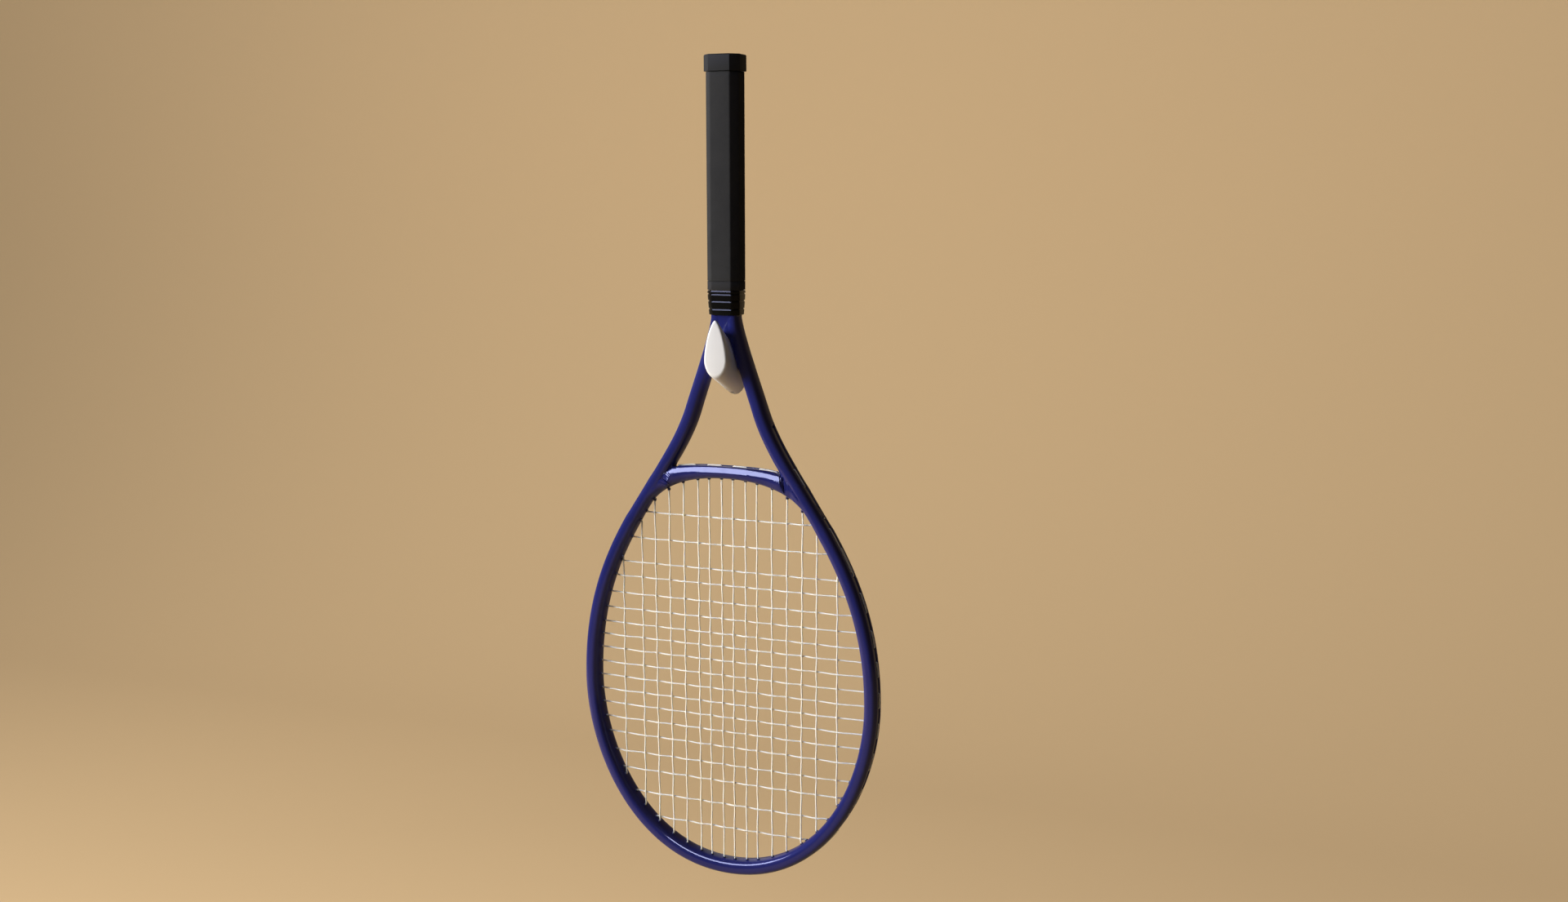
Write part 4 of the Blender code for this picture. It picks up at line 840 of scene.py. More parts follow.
def make_plug(label, z, ribbed, plastic):
    """Split plug: a plain collar, ribs along its body, and a slit through it."""
    front, back = PLUG_SET_BACK, PLUG_SET_BACK + PLUG_LENGTH
    bore = SCREW_RADIUS + 0.35 * MM
    body = PLUG_RADIUS - 0.45 * MM
    profile = [(front + 1.0 * MM, bore), (front, bore + 0.25 * MM),
               (front, PLUG_RADIUS - 0.2 * MM), (front + 0.2 * MM, PLUG_RADIUS),
               (front + 1.4 * MM, PLUG_RADIUS), (front + 1.9 * MM, body), (back - 2.5 * MM, body),
               (back - 0.2 * MM, body - 0.5 * MM), (back, body - 0.75 * MM), (back, bore)]
    plug = piece(f"wall_plug_{label}_moulded", turned(profile + profile[:1], z), plastic,
                 caps=(False, False), sharp=30.0)
    span = PLUG_LENGTH - 7 * MM
    places = [(0.0, front + 4 * MM + span * k / (PLUG_RIBS - 1), z) for k in range(PLUG_RIBS)]
    ribs = ribbed.make("ribs", places, [], plastic, aims=[(0.0, 1.0, 0.0)] * PLUG_RIBS,
                       radius=body - 0.1 * MM, thick=1.0 * MM, long=0.7 * MM)
    merged(plug, ribs)
    slit = [[(6 * MM * across, y, z + 0.45 * MM * up) for across, up in
             ((-1, -1), (1, -1), (1, 1), (-1, 1))] for y in (front + 8 * MM, back + 2 * MM)]
    cut(plug, piece("slit", slit, plastic))
    plug.data.set_sharp_from_angle(angle=math.radians(30))
    return plug


def merged(first, second):
    """The second object's mesh added to the first one's."""
    bm = bmesh.new()
    bm.from_mesh(first.data)
    bm.from_mesh(second.data)
    bm.to_mesh(first.data)
    bm.free()
    dropped(second)
    return first


# Geometry Nodes trees

def tube_pattern():
    """A round tube along the mesh's edges."""
    tree = Pattern("tube_along_path", radius=STRING_RADIUS, sides=STRING_SIDES)
    curve = tree.node("GeometryNodeMeshToCurve", {"Mesh": tree.size("Geometry")})
    section = tree.node("GeometryNodeCurvePrimitiveCircle",
                        {"Resolution": tree.size("sides"), "Radius": tree.size("radius")})
    skin = tree.node("GeometryNodeCurveToMesh",
                     {"Curve": curve, "Profile Curve": section, "Fill Caps": True})
    return tree.end(skin)


def ring_pattern():
    """A short open tube on each point, turned to the point's aim."""
    tree = Pattern("ring_on_points", radius=1.15 * MM, thick=BARREL_WALL, long=2.0 * MM)
    path = tree.node("GeometryNodeCurvePrimitiveCircle",
                     {"Resolution": 20, "Radius": tree.size("radius")})
    section = tree.node("GeometryNodeCurvePrimitiveQuadrilateral",
                        {"Width": tree.size("thick"), "Height": tree.size("long")})
    soft = tree.node("GeometryNodeFilletCurve",
                     {"Curve": section, "Count": 2, "Radius": tree.size("thick") * 0.35},
                     mode="POLY")
    ring = tree.node("GeometryNodeCurveToMesh", {"Curve": path, "Profile Curve": soft})
    aim = tree.node("GeometryNodeInputNamedAttribute", {"Name": "aim"}, data_type="FLOAT_VECTOR")
    turn = tree.node("FunctionNodeAlignRotationToVector", {"Vector": aim}, axis="Z")
    dots = tree.node("GeometryNodeMeshToPoints", {"Mesh": tree.size("Geometry")})
    placed = tree.node("GeometryNodeInstanceOnPoints",
                       {"Points": dots, "Instance": ring, "Rotation": turn})
    return tree.end(placed)


def chain(count):
    return [(i, i + 1) for i in range(count - 1)]


# Frame

def grooved_section(width, depth, squareness, grooved, facet=None):
    """Beam section as (outwards, deep), with the string channel sunk into its outer side. Its
    outer corners are flattened by a facet: the share of it that is there, and how far the
    section is drawn out."""
    half = width / 2

    def outer(deep):
        return half * max(1 - abs(2 * deep / depth) ** squareness, 0.0) ** (1 / squareness)

    def deep_at(out):
        return depth / 2 * (1 - abs(out / half) ** squareness) ** (1 / squareness)

    lip = CHANNEL_WIDTH / 2
    side = []
    for deep, sunk in ((0.0, 1.0), (lip * 0.5, 1.0), (lip - 0.15 * MM, 1.0), (lip, 0.90),
                       (lip + 0.05 * MM, 0.12), (lip + 0.30 * MM, 0.0)):
        level = outer(deep) - grooved * LIP_DROP
        side.append((level - grooved * sunk * (level - (half - CHANNEL_DEPTH)), deep))
    start = math.asin(min((2 * (lip + 0.8 * MM) / depth) ** (squareness / 2), 1.0))
    for angle in np.linspace(start, math.pi, BEAM_POINTS):
        c, s = math.cos(angle), math.sin(angle)
        out = math.copysign(abs(c) ** (2 / squareness), c) * half
        deep = abs(s) ** (2 / squareness) * depth / 2
        if out > 0:
            out -= grooved * LIP_DROP * (1 - eased(deep, lip, LIP_DROP_REACH))
        side.append((out, deep))
    if facet:
        there, drawn_out = facet
        low, high = facet_ends(drawn_out)
        above = lip + 0.3 * MM
        edge = deep_at(high) + there * (deep_at(low) - FACET_SLOPE * FACET_RISE - deep_at(high))
        shrink = (edge - above) / (deep_at(high) - above)
        before = [(out, deep if deep < above else above + shrink * (deep - above))
                  for out, deep in side if out > high or (out > low and deep < above + 0.1 * MM)]
        flat = [(high + (low - high) * t, edge + (deep_at(low) - edge) * t
                 + 4 * t * (1 - t) * FACET_BULGE) for t in np.linspace(0.0, 1.0, 9)]
        side = before + flat + [p for p in side if p[0] < low]
    return side + [(out, -deep) for out, deep in side[-2:0:-1]]


def facet_ends(drawn_out):
    half = FACET_RISE / drawn_out / 2
    return FACET_MIDDLE - half, FACET_MIDDLE + half


def arm_size(h):
    share = np.clip((h - ARM_START_H) / (ARM_FULL_SIZE_H - ARM_START_H), 0.0, 1.0)
    return ARM_SIZE + (1 - ARM_SIZE) * share


def hoop_rings(butt):
    end = HOOP.length[-1] - CHANNEL_START
    rings = []
    for s in np.linspace(0.0, HOOP.length[-1], int(HOOP.length[-1] / BEAM_STEP)):
        grooved = eased(min(s - CHANNEL_START, end - s), -CHANNEL_FADE / 2, CHANNEL_FADE / 2)
        size = arm_size(HOOP.place(s)[1])
        rings.append(ring_on(HOOP, s, butt, grooved_section(BEAM_WIDTH * size, BEAM_DEPTH * size,
                                                            HOOP_SQUARENESS, grooved)))
    return rings


def bridge_rings(butt):
    """Rings of the bridge: flattened above, and thicker where it runs on to the arms."""
    start = bridge_start(0.0)
    rings = []
    for s in np.linspace(0.0, BRIDGE.length[-1], int(BRIDGE.length[-1] / BRIDGE_STEP)):
        grooved = eased(min(s, BRIDGE.length[-1] - s) - start, -CHANNEL_FADE / 2, CHANNEL_FADE / 2)
        x = abs(BRIDGE.place(s)[0])
        there = 1 - eased(x, FACET_HALF_LENGTH + 2 * MM, FACET_HALF_LENGTH + 3.5 * MM)
        drawn_out = 1 + np.interp(s, BRIDGE.length, BRIDGE.spread) / BRIDGE_WIDTH
        thicker = BRIDGE_THICKER * eased(x, *BRIDGE_THICKER_SPAN)
        thicker *= 1 - eased(x, FACET_HALF_LENGTH + 1 * MM, FACET_HALF_LENGTH + 12 * MM)
        section = grooved_section(BRIDGE_WIDTH, BRIDGE_DEPTH + thicker, BEAM_SQUARENESS, grooved,
                                  (there, drawn_out))
        rings.append(ring_on(BRIDGE, s, butt, section))
    return rings


def ring_on(beam, s, butt, section):
    return [in_space(beam.place(s, out), deep, butt) for out, deep in section]


def upright(name, size, heights, finish, butt):
    """A straight block with round edges and a ring at each height."""
    return piece(name, [round_rectangle(*size, CORE_BEVEL, h, butt) for h in heights], finish)


def round_rectangle(width, depth, radius, h, butt, count=6, sides=(12, 16)):
    """Rectangle with round corners and points along its sides, as many at every height."""
    corners = []
    for k, (cx, cy) in enumerate(((1, 1), (-1, 1), (-1, -1), (1, -1))):
        for angle in np.linspace(0.0, math.pi / 2, count) + k * math.pi / 2:
            corners.append(np.array([cx * (width / 2 - radius) + radius * math.cos(angle),
                                     cy * (depth / 2 - radius) + radius * math.sin(angle)]))
    ring = []
    for k, (point, after) in enumerate(zip(corners, corners[1:] + corners[:1])):
        steps = sides[(k + 1) // count % 2] if (k + 1) % count == 0 else 1
        for share in np.arange(steps) / steps:
            x, deep = point + (after - point) * share
            ring.append(in_space((x, h), deep, butt))
    return ring


def offsets_from(beam, points):
    """Of points (x, deep, h): how far out they are in the beam's section, as if it weren't
    spread, and how far past its end."""
    flat = points[:, [0, 2]]
    away = flat[:, None, :] - beam.path[None, ::2, :]
    nearest = np.linalg.norm(away, axis=2).argmin(axis=1)
    away = away[np.arange(len(flat)), nearest]
    out = (away * beam.outward[::2][nearest]).sum(axis=1)
    past = np.sqrt(np.maximum((away ** 2).sum(axis=1) - out ** 2, 0.0))
    spread = beam.spread[::2][nearest]
    return (out - spread / 2) / (1 + spread / BRIDGE_WIDTH), past


def distance_to(beam, width, depth, squareness, points, size):
    """Rough distance from points (x, deep, h) to a beam's plain surface, at its size there."""
    near = np.hypot(*offsets_from(beam, points)) / (width * size / 2)
    deep = np.abs(points[:, 1]) / (depth * size / 2)
    reach = (near ** squareness + deep ** squareness) ** (1 / squareness)
    return (reach - 1) * width * size / 2


def softened(mesh, points, weights):
    """Draw each vertex towards its neighbours by its weight, to make a fillet."""
    ends = np.empty(len(mesh.edges) * 2, dtype=np.int64)
    mesh.edges.foreach_get("vertices", ends)
    a, b = ends.reshape(-1, 2).T
    moved = (weights[a] > 0) | (weights[b] > 0)
    a, b = a[moved], b[moved]
    count = np.maximum(np.bincount(a, minlength=len(points))
                       + np.bincount(b, minlength=len(points)), 1)[:, None]
    for _ in range(FILLET_ROUNDS):
        total = np.zeros_like(points)
        np.add.at(total, a, points[b])
        np.add.at(total, b, points[a])
        points += 0.5 * weights[:, None] * (total / count - points)
    mesh.vertices.foreach_set("co", points.ravel())
    mesh.update()


def throat_arch(distance, inner_edge):
    """Outline of the hollow between the arms, at a distance from the wall: the peg's upper
    outline, grown by THROAT_CLEAR, then the arms' inner edges."""
    height = peg_height(distance)
    turn = np.linspace(0.0, math.pi / 2, ARCH_POINTS)
    up = PEG_BULB_HEIGHT + (height - PEG_BULB_HEIGHT) * np.cos(turn)
    right = peg_edge(up, height, -THROAT_CLEAR)
    right[0] = (0.0, height + THROAT_CLEAR)
    right[:, 1] += peg_bottom(distance)
    down = np.linspace(right[-1, 1], inner_edge[-1, 1], ARCH_POINTS)[1:]
    edge = np.interp(-down, -inner_edge[:, 1], inner_edge[:, 0])
    right = np.vstack([right, np.stack([np.maximum(edge, right[-1, 0]), down], axis=1)])
    return [(x, -distance, z) for x, z in np.vstack([right, mirrored(right[:0:-1])])]


def arm_inner_edge(butt):
    """The right arm's inner edge, sunk by WEB_SINK, as (x, z) from above down."""
    places = []
    for h in np.arange(ARM_START_H, ARM_START_H + WEB_LENGTH + 4 * MM, 2 * MM):
        x, down = HOOP.place(hoop_at(h), WEB_SINK - arm_size(h) * BEAM_WIDTH / 2)
        places.append((x, butt - down))
    return np.array(places)


def throat_web(finish, butt):
    """Fills the throat from one arm's middle to the other's, and thins out at its end."""
    rings = []
    for share in np.linspace(0.0, 1.0, WEB_RINGS):
        h = ARM_START_H - SEAT_GAP + share * (WEB_LENGTH + SEAT_GAP)
        x = HOOP.place(hoop_at(h))[0]
        thinning = max(share - WEB_FULL_SHARE, 0.0) / (1 - WEB_FULL_SHARE)
        depth = WEB_DEPTH + thinning * (WEB_END_DEPTH - WEB_DEPTH)
        rings.append(round_rectangle(2 * x, depth, 0.5 * MM, h, butt, 2, (12, 20)))
    return piece("web", rings, finish)


def make_frame(finish, butt):
    """One moulding: hoop, arms, bridge, web and neck, with fillets where they meet."""
    frame = piece("racket_frame", hoop_rings(butt), finish)
    bridge = piece("bridge", bridge_rings(butt), finish)
    web = throat_web(finish, butt)
    edge = arm_inner_edge(butt)
    half = WEB_DEPTH / 2 + 2 * MM
    distances = np.linspace(RACKET_FROM_WALL - half, RACKET_FROM_WALL + half, 5)
    arch = piece("arch", [throat_arch(distance, edge) for distance in distances], finish)
    cut(web, arch)
    heights = np.linspace(PALLET_END_H + SEAT_GAP, ARM_START_H + 2 * MM, 12)
    neck = upright("neck", NECK_SIZE, heights, finish, butt)
    core = upright("core", CORE_SIZE, (CORE_H, PALLET_END_H + 4 * MM), finish, butt)
    for other in (bridge, web, neck, core):
        boolean(frame, other, "UNION")
    applied(frame)
    dropped(bridge, web, neck, core)
    fillet_joints(frame.data, butt)
    frame.data.shade_smooth()
    frame.data.set_sharp_from_angle(angle=math.radians(21))
    return frame


def fillet_joints(mesh, butt):
    """Round the lines where the bridge meets the hoop and where the arms leave the neck."""
    points = np.empty(len(mesh.vertices) * 3)
    mesh.vertices.foreach_get("co", points)
    points = points.reshape(-1, 3)
    x, deep, h = points[:, 0], points[:, 1] + RACKET_FROM_WALL, butt - points[:, 2]
    weights = np.zeros(len(points))
    joint = (np.abs(h - BRIDGE_H - JOINT_DROP) < JOINT_REACH) & (np.abs(x) > JOINT_START_X)
    near = np.stack([x, deep, h], axis=1)[joint]
    gap = np.abs(distance_to(HOOP, BEAM_WIDTH, BEAM_DEPTH, HOOP_SQUARENESS, near,
                             arm_size(near[:, 2])))
    gap = np.maximum(gap, np.abs(distance_to(BRIDGE, BRIDGE_WIDTH, BRIDGE_DEPTH, BEAM_SQUARENESS,
                                             near, 1.0)))
    out, _ = offsets_from(BRIDGE, near)
    facet = (np.abs(out - FACET_MIDDLE) < FACET_KEPT_SHARE * FACET_RISE)
    facet &= np.abs(near[:, 1]) > FACET_DEEP
    kept = facet * (1 - eased(np.abs(near[:, 0]), FACET_HALF_LENGTH - 2.5 * MM,
                              FACET_HALF_LENGTH + 1.5 * MM))
    weights[joint] = np.clip(FILLET_STRENGTH * (1 - gap / FILLET_REACH), 0.0, 1.0) * (1 - kept)
    throat = (h > ARM_START_H + 2 * MM) & (h < ARM_START_H + WEB_LENGTH + 4 * MM)
    throat &= np.abs(x) < np.interp(h, RIGHT_PATH[:, 1], RIGHT_PATH[:, 0])
    weights[throat] = WEB_SOFTNESS * (np.abs(deep[throat]) > WEB_CREASE_SHARE * WEB_DEPTH)
    channel = (np.abs(deep) < CHANNEL_WIDTH / 2 + 0.5 * MM) & (weights > 0)
    weights[channel & (h > CHANNEL_START_H)] *= CHANNEL_SOFTNESS
    softened(mesh, points, weights)


# Holes, strips and strings

def half_width(beam):
    return (BRIDGE_WIDTH if beam is BRIDGE else BEAM_WIDTH) / 2


class StringHole:
    """A hole through the beam for one string, square to the beam at the channel."""

    def __init__(self, beam, length, level, inner=None):
        self.beam = beam
        self.length = length
        self.level = level
        self.half = half_width(beam)
        self.strip = self.half - CHANNEL_DEPTH + SEAT_GAP
        self.loop = self.strip + STRIP_THICKNESS + STRING_RADIUS + 0.05 * MM
        self.inner = inner

    def mirror(self):
        inner = None if self.inner is None else mirrored(self.inner)
        return StringHole(self.beam, self.beam.length[-1] - self.length, self.level, inner)

    def at(self, offset):
        return self.beam.place(self.length, offset)

    def mouth(self):
        """Where the string leaves the hole inside the head."""
        if self.inner is None:
            return self.at(-self.half - BARREL_STAND_OUT - 0.35 * MM)
        return self.inner

    def string_points(self):
        bend = [] if self.inner is None else [self.at(0.0)]
        return [(p, self.level) for p in [self.at(self.loop), *bend, self.mouth()]]

    def barrel(self):
        """Middle of the barrel's mouth and the way it points, both as (x, h)."""
        if self.inner is None:
            return self.at(-self.half - BARREL_STAND_OUT + 1.0 * MM), self.beam.normal(self.length)
        way = self.inner - self.at(0.0)
        way /= np.linalg.norm(way)
        return self.inner - 0.2 * MM * way, way


def bed_holes():
    """Holes of the right side: mains at the throat, mains at the tip, and crosses."""
    inner_edge = -BEAM_WIDTH / 2
    upper, lower, crosses = [], [], []
    for i, x in enumerate(np.array(MAIN_SHARES) * HEAD_HALF_WIDTH):
        under = BRIDGE.where(0, x, -BRIDGE_WIDTH / 2, HALF_BRIDGE, 2 * HALF_BRIDGE)
        if i < BRIDGE_MAINS:
            upper.append(StringHole(BRIDGE, under, -STRING_STAGGER))
        elif i < BRIDGE_MAINS + len(CORNER_MAIN_OUT_DROPS):
            out_h = BRIDGE_H + CORNER_MAIN_OUT_DROPS[i - BRIDGE_MAINS] * MM
            length = HOOP.where(1, out_h, BEAM_WIDTH / 2, 0.0, WIDEST_LENGTH)
            inner = BRIDGE.place(under, -BRIDGE_WIDTH / 2) + np.array([0.0, CORNER_MOUTH_DROP])
            upper.append(StringHole(HOOP, length, -STRING_STAGGER, inner))
        else:
            length = HOOP.where(0, x, inner_edge, HOOP.where(1, BRIDGE_H, 0, 0, TIP_LENGTH / 2),
                                WIDEST_LENGTH)
            upper.append(StringHole(HOOP, length, -STRING_STAGGER))
        length = HOOP.where(0, x, inner_edge, WIDEST_LENGTH, TIP_LENGTH)
        lower.append(StringHole(HOOP, length, -STRING_STAGGER))
    for share in CROSS_SHARES:
        length = hoop_at(BRIDGE_H + share * HEAD_LENGTH, inner_edge)
        crosses.append(StringHole(HOOP, length, STRING_STAGGER))
    spread([hole for hole in upper + lower + crosses if hole.beam is HOOP])
    return upper, lower, crosses


def spread(holes):
    """Push holes apart along the beam until no two are closer than HOLE_SPACING."""
    holes.sort(key=lambda hole: hole.length)
    for _ in range(60):
        for near, far in zip(holes, holes[1:]):
            short = HOLE_SPACING - (far.length - near.length)
            if short > 0:
                near.length -= short / 2
                far.length += short / 2


def strip_rings(beam, start, end, butt):
    """Rings of a grommet strip: a flat band with a low rail along each edge."""
    low = half_width(beam) - CHANNEL_DEPTH + SEAT_GAP
    wide = CHANNEL_WIDTH / 2 - SEAT_GAP
    top = low + STRIP_THICKNESS
    side = [(low, 0.0), (low, wide - 0.1 * MM), (low + 0.1 * MM, wide), (top, wide),
            (top + 0.08 * MM, wide - 0.1 * MM), (top + 0.08 * MM, wide - 0.45 * MM),
            (top - 0.05 * MM, wide - 0.6 * MM), (top - 0.05 * MM, 0.0)]
    section = side + [(out, -deep) for out, deep in side[-2:0:-1]]
    return [ring_on(beam, s, butt, section)
            for s in np.linspace(start, end, int((end - start) / (3 * MM)))]


def make_strips(holes, rings_on, finish, butt):
    joint = hoop_at(BRIDGE_H + BUMPER_START_SHARE * HEAD_LENGTH)
    start = hoop_at(CHANNEL_START_H + STRIP_JOINT_GAP)
    total = HOOP.length[-1]
    gap = STRIP_JOINT_GAP / 2
    low = bridge_start(STRIP_JOINT_GAP)
    runs = {
        "grommet_strip_right": (HOOP, start, joint - gap),
        "bumper_strip": (HOOP, joint + gap, total - joint - gap),
        "grommet_strip_left": (HOOP, total - joint + gap, total - start),
        "grommet_strip_throat": (BRIDGE, low, BRIDGE.length[-1] - low),
    }
    made = {}
    for node, (beam, near, far) in runs.items():
        strip = piece(node + "_moulded", strip_rings(beam, near, far, butt), finish, sharp=30.0)
        mouths, ways, tops, outs = [], [], [], []
        for hole in (h for h in holes if h.beam is beam and near < h.length < far):
            place, way = hole.barrel()
            mouths.append(in_space(place, hole.level, butt))
            ways.append((way[0], 0.0, -way[1]))
            out = beam.normal(hole.length)
            tops.append(in_space(hole.at(hole.strip + STRIP_THICKNESS), hole.level, butt))
            outs.append((out[0], 0.0, -out[1]))
        merged(strip, rings_on.make("mouths", mouths, [], finish, aims=ways, long=2.0 * MM))
        merged(strip, rings_on.make("eyelets", tops, [], finish, aims=outs, long=0.35 * MM))
        made[node] = strip
    return made


def rounded(points, reach):
    """The path with each sharp corner turned into a short curve."""
    out = [points[0]]
    for before, corner, after in zip(points, points[1:], points[2:]):
        back, ahead = before - corner, after - corner
        lengths = np.linalg.norm(back), np.linalg.norm(ahead)
        if back @ ahead / (lengths[0] * lengths[1]) > -0.9:
            first = corner + back * min(reach / lengths[0], 0.45)
            last = corner + ahead * min(reach / lengths[1], 0.45)
            out += [quadratic(t, first, corner, last) for t in np.linspace(0.0, 1.0, 6)]
        else:
            out.append(corner)
    return out + [points[-1]]


def crossing(a, b):
    """Shares along two straight strings at which they cross, or nothing."""
    sides = np.array([a[1] - a[0], b[0] - b[1]]).T
    u, v = np.linalg.solve(sides, b[0] - a[0])
    return (u, v) if 0 < u < 1 and 0 < v < 1 else None


def waved(line, level, met):
    """Inner points of a straight string that bends to one side or the other where it is met."""
    keys = [(0.0, level)] + sorted(met) + [(1.0, level)]
    points = []
    for (t0, y0), (t1, y1) in zip(keys, keys[1:]):
        for k in range(WAVE_STEPS):
            share = k / WAVE_STEPS
            ease = (1 - math.cos(math.pi * share)) / 2
            t = t0 + (t1 - t0) * share
            points.append((line[0] + t * (line[1] - line[0]), y0 + (y1 - y0) * ease))
    return points[1:]


def make_strings(upper, lower, crosses, tube, finish, butt):
    """Both strings, each one unbroken length that leaves the frame and comes back."""
    tops = [hole.mirror() for hole in upper[::-1]] + upper
    bottoms = [hole.mirror() for hole in lower[::-1]] + lower
    lines = [(top.mouth(), bottom.mouth()) for top, bottom in zip(tops, bottoms)]
    rows = []
    for j, right in enumerate(crosses):
        left = right.mirror()
        rows.append((right, left) if j % 2 == 0 else (left, right))
    on_main = [[] for _ in lines]
    on_cross = [[] for _ in rows]
    for j, (first, last) in enumerate(rows):
        row = (first.mouth(), last.mouth())
        length = np.linalg.norm(row[1] - row[0])
        for i, line in enumerate(lines):
            shares = crossing(row, line)
            if shares is None:
                continue
            near = min(shares[0], 1 - shares[0]) * length < WEAVE_FROM_END
            side = 1 if near or (i + j) % 2 == 0 else -1
            on_cross[j].append((shares[0], side * CROSS_WAVE - STRING_STAGGER))
            on_main[i].append((shares[1], -side * MAIN_WAVE - STRING_STAGGER))
    runs = {"main_string": [], "cross_string": []}
    for i, (top, bottom) in enumerate(zip(tops, bottoms)):
        down = waved(lines[i], -STRING_STAGGER, on_main[i])
        runs["main_string"].append((bottom, top, down[::-1]) if i % 2 == 0 else (top, bottom, down))
    for j, (first, last) in enumerate(rows):
        across = waved((first.mouth(), last.mouth()), STRING_STAGGER, on_cross[j])
        runs["cross_string"].append((first, last, across))
    made = {}
    for node, lengths in runs.items():
        places = [in_space(p, level, butt) for p, level in threaded(lengths)]
        points = rounded(places, STRING_BEND)
        made[node] = tube.make(node + "_drawn", points, chain(len(points)), finish)
    return made


def threaded(runs):
    """One unbroken path: in at a hole, over the bed, out, and on in the channel to the next."""
    path, left_by = [], None
    for first, last, inside in runs:
        if left_by:
            path += [(p, first.level) for p in
                     first.beam.follow(left_by.length, first.length, first.loop)]
        path += first.string_points() + inside + last.string_points()[::-1]
        left_by = last
    return path


# Handle

def octagon(width, depth, bevel, h, butt, edge=GRIP_EDGE):
    """Eight-sided ring with softly rounded corners."""
    side, front = width / 2, depth / 2
    corners = [(side, front - bevel), (side - bevel, front),
               (bevel - side, front), (-side, front - bevel)]
    corners = np.array(corners + [(-x, -y) for x, y in corners])
    ring = []
    for k, corner in enumerate(corners):
        back, ahead = corners[k - 1] - corner, corners[(k + 1) % 8] - corner
        first = corner + back * edge / np.linalg.norm(back)
        last = corner + ahead * edge / np.linalg.norm(ahead)
        for t in np.linspace(0.0, 1.0, 4):
            x, deep = quadratic(t, first, corner, last)
            ring.append(in_space((x, h), deep, butt))
    return ring


def grip_ring(inset, h, butt):
    return octagon(GRIP_WIDTH - 2 * inset, GRIP_DEPTH - 2 * inset,
                   GRIP_BEVEL - (2 - math.sqrt(2)) * inset, h, butt)


def make_grip(grip, tape, butt):
    start = CAP_HEIGHT + SEAT_GAP
    end = COLLAR_H - SEAT_GAP
    split = end - TAPE_LENGTH
    under = TAPE_THICKNESS + SEAT_GAP
    outer = [(WRAP_THICKNESS, start), (0.35 * MM, start), (0.0, start + 0.35 * MM)]
    outer += [(0.0, h) for h in np.linspace(start + 5 * MM, split - SEAT_GAP - 0.5 * MM, 40)]
    outer += [(0.15 * MM, split - SEAT_GAP), (under, split - SEAT_GAP), (under, end),
              (WRAP_THICKNESS, end)]
    inner = [(WRAP_THICKNESS, h) for h in np.linspace(end, start, 8)[1:]]
    rings = [grip_ring(inset, h, butt) for inset, h in outer + inner]
    wrap = piece("grip_winding", rings, grip, caps=(False, False), sharp=50.0)
    band = [(TAPE_THICKNESS, split), (0.1 * MM, split), (0.0, split + 0.1 * MM),
            (0.0, end - 0.2 * MM), (0.12 * MM, end), (TAPE_THICKNESS, end),
            (TAPE_THICKNESS, split)]
    rings = [grip_ring(inset, h, butt) for inset, h in band]
    closing = piece("closing_tape", rings, tape, caps=(False, False), sharp=50.0)
    return wrap, closing


def make_collar(finish, butt):
    """Ribbed collar: each rib has a sloped upper ledge that catches the light."""
    def ring(h, out):
        share = (h - COLLAR_H) / COLLAR_LENGTH
        width, depth = (a + share * (b - a) for a, b in zip(COLLAR_TOP, COLLAR_END))
        bevel = COLLAR_BEVEL * width / COLLAR_TOP[0]
        return octagon(width + 2 * out, depth + 2 * out, bevel, h, butt, edge=1.3 * MM)

    rings = [ring(COLLAR_H, -4.0 * MM), ring(COLLAR_H, -0.2 * MM)]
    for start, end in zip(COLLAR_RIB_STARTS, COLLAR_RIB_STARTS[1:] + [1.0]):
        span = (end - start) * COLLAR_LENGTH
        top = COLLAR_H + start * COLLAR_LENGTH
        for down, out in ((0.05 * MM, 0.0), (0.05 * MM + COLLAR_LEDGE, 1.0), (span / 2, 1.0),
                          (span - 0.5 * MM, 1.0), (span - 0.2 * MM, 0.0)):
            rings.append(ring(top + down, out * COLLAR_RIB_HEIGHT))
    end = COLLAR_H + COLLAR_LENGTH
    rings += [ring(end - 0.3 * MM, 0.0), ring(end, -0.3 * MM), ring(end, -1.3 * MM)]
    return piece("ribbed_collar", rings, finish, sharp=24.0)


# Stage, lights and camera

def make_stage(finish):
    """Floor that sweeps up into a backdrop, far enough back for views from behind."""
    profile = [(-STAGE_BACK, FLOOR_Z)]
    profile += [(STAGE_BACK - STAGE_SWEEP * (1 - math.sin(a)),
                 FLOOR_Z + STAGE_SWEEP * (1 - math.cos(a)))
                for a in np.linspace(0.0, math.pi / 2, 24)]
    profile.append((STAGE_BACK, 2 * STAGE_BACK))
    rings = [[(x, y, z) for y, z in profile] for x in (STAGE_HALF_WIDTH, -STAGE_HALF_WIDTH)]
    piece("floor", rings, finish, closed=False, caps=(False, False))


def area_light(name, place, size, power, colour=(1.0, 1.0, 1.0), along=(1.0, 0.0, 0.0)):
    """Flat lamp that faces the racket, with its long side as near as can be to a direction."""
    data = bpy.data.lights.new(name, "AREA")
    data.shape = "RECTANGLE"
    data.size, data.size_y = size
    data.energy = power
    data.color = colour
    lamp = bpy.data.objects.new(name, data)
    bpy.context.scene.collection.objects.link(lamp)
    lamp.location = place
    back = (Vector(place) - Vector(LIT_MIDDLE)).normalized()
    up = back.cross(Vector(along)).normalized()
    lamp.rotation_euler = Matrix((up.cross(back), up, back)).transposed().to_euler()
    lamp.visible_camera = False
    return lamp


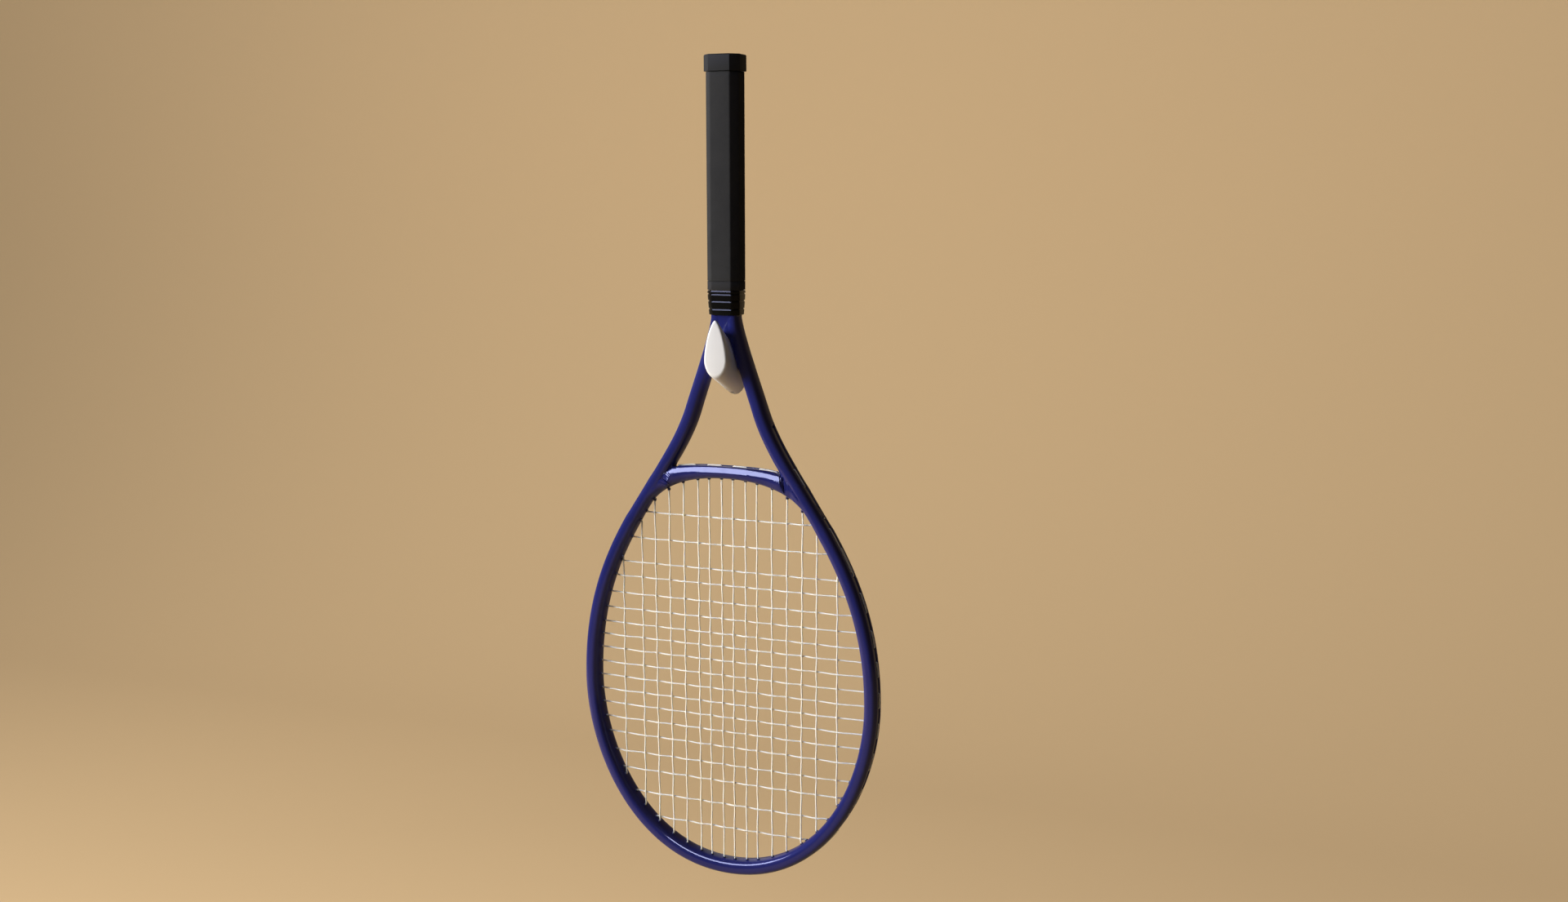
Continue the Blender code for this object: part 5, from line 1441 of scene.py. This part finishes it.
def make_lights():
    """A soft key from the left that isn't mirrored, a panel overhead that is seen only in
    gloss, and a weak fill from behind."""
    key = area_light("key_left", place=(-2.90, -1.68, 0.75), size=(2.2, 2.2), power=218.0,
                     colour=(1.0, 1.0, 0.98))
    key.visible_glossy = False
    sheen = area_light("sheen_above", place=(-0.47, -0.70, 0.72), size=(2.1, 0.62), power=108.0,
                       colour=(0.59, 0.63, 1.0), along=(0.916, -0.36, 0.176))
    sheen.visible_diffuse = False
    area_light("rear_fill", place=(-0.9, 1.6, 0.4), size=(1.2, 1.2), power=6.0)
    world = bpy.data.worlds.new("studio")
    bpy.context.scene.world = world
    world.use_nodes = True
    tree = Tree(world.node_tree)
    backdrop = tree.nodes.nodes["Background"].inputs
    tree.feed(backdrop["Color"], tree.mix(tree.seen_directly(), AMBIENT, WORLD_TONE))
    tree.feed(backdrop["Strength"], 1.0)


def make_camera():
    data = bpy.data.cameras.new("portrait")
    data.lens = CAMERA_LENS
    data.sensor_width = SENSOR_WIDTH
    data.sensor_fit = "HORIZONTAL"
    camera = bpy.data.objects.new("portrait", data)
    bpy.context.scene.collection.objects.link(camera)
    camera.location = CAMERA_PLACE
    ahead = Vector((-math.sin(CAMERA_AZIMUTH) * math.cos(CAMERA_ELEVATION),
                    math.cos(CAMERA_AZIMUTH) * math.cos(CAMERA_ELEVATION),
                    -math.sin(CAMERA_ELEVATION)))
    camera.rotation_euler = ahead.to_track_quat("-Z", "Y").to_euler()
    bpy.context.scene.camera = camera


def dress(obj, body, slot, *nodes):
    """The piece rides on a body and stands for the solids named. Its slot is not used."""
    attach(obj, body)
    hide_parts(*nodes)


def main():
    for obj in list(bpy.data.objects):
        bpy.data.objects.remove(obj, do_unlink=True)
    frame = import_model()
    bpy.context.scene.view_settings.view_transform = "Standard"
    butt = seat_of("butt_cap")

    blue, dark_nylon, white_string = lacquer(), nylon(), string_gut()
    grip, tape, rubber, cap_plastic = grip_skin(), tape_vinyl(), collar_rubber(), cap_moulding()
    peg_white = peg_moulding()
    foam = hidden_moulding("pallet_foam", (0.45, 0.40, 0.30), 0.85)
    bracket_grey = hidden_moulding("bracket_plastic", (0.30, 0.30, 0.31), 0.55)
    plug_grey = hidden_moulding("plug_plastic", (0.45, 0.45, 0.44), 0.55)
    steel = metal("steel", (0.55, 0.55, 0.56))
    brass = metal("brass", (0.62, 0.45, 0.18))
    tube, rings_on = tube_pattern(), ring_pattern()

    make_camera()
    upper, lower, crosses = bed_holes()
    right_holes = upper + lower + crosses
    holes = right_holes + [hole.mirror() for hole in right_holes]
    dress(make_frame(blue, butt), "racket", "frame_lacquer", "frame")
    for node, strip in make_strips(holes, rings_on, dark_nylon, butt).items():
        dress(strip, "racket", "grommet_nylon", node)
    for node, string in make_strings(upper, lower, crosses, tube, white_string, butt).items():
        dress(string, "racket", "string", node)
    wrap, closing = make_grip(grip, tape, butt)
    dress(wrap, "racket", "grip", "grip_wrap")
    dress(closing, "racket", "tape", "finishing_tape")
    dress(make_collar(rubber, butt), "racket", "rubber", "grip_collar")
    cap = eased_copy(frame, "butt_cap", "handle_cap", cap_plastic, width=0.35 * MM, angle=40.0,
                     segments=3)
    dress(cap, "racket", "cap_plastic", "butt_cap")
    dress(eased_copy(frame, "butt_trapdoor", "cap_door", cap_plastic), "trapdoor", "cap_plastic",
          "butt_trapdoor")
    dress(make_peg(peg_white), "wall_peg", "peg_white", "peg_shell")
    dress(eased_copy(frame, "wall_bracket", "bracket_moulded", bracket_grey), "wall_peg",
          "bracket_plastic", "wall_bracket")
    for label, z in SCREW_HEIGHTS.items():
        dress(make_screw(label, z, steel, tube), "wall_peg", "steel", f"wall_screw_{label}")
        dress(make_plug(label, z, rings_on, plug_grey), "wall_peg", "plug_plastic",
              f"wall_plug_{label}")
    for node, finish in (("handle_pallet", foam), ("lock_screw", steel), ("threaded_insert", brass),
                         ("cap_staple_front_left", steel), ("cap_staple_front_right", steel),
                         ("cap_staple_rear_left", steel), ("cap_staple_rear_right", steel)):
        frame["nodes"][node].data.materials.clear()
        frame["nodes"][node].data.materials.append(finish.material)

    make_stage(stage_paint())
    make_lights()


main()
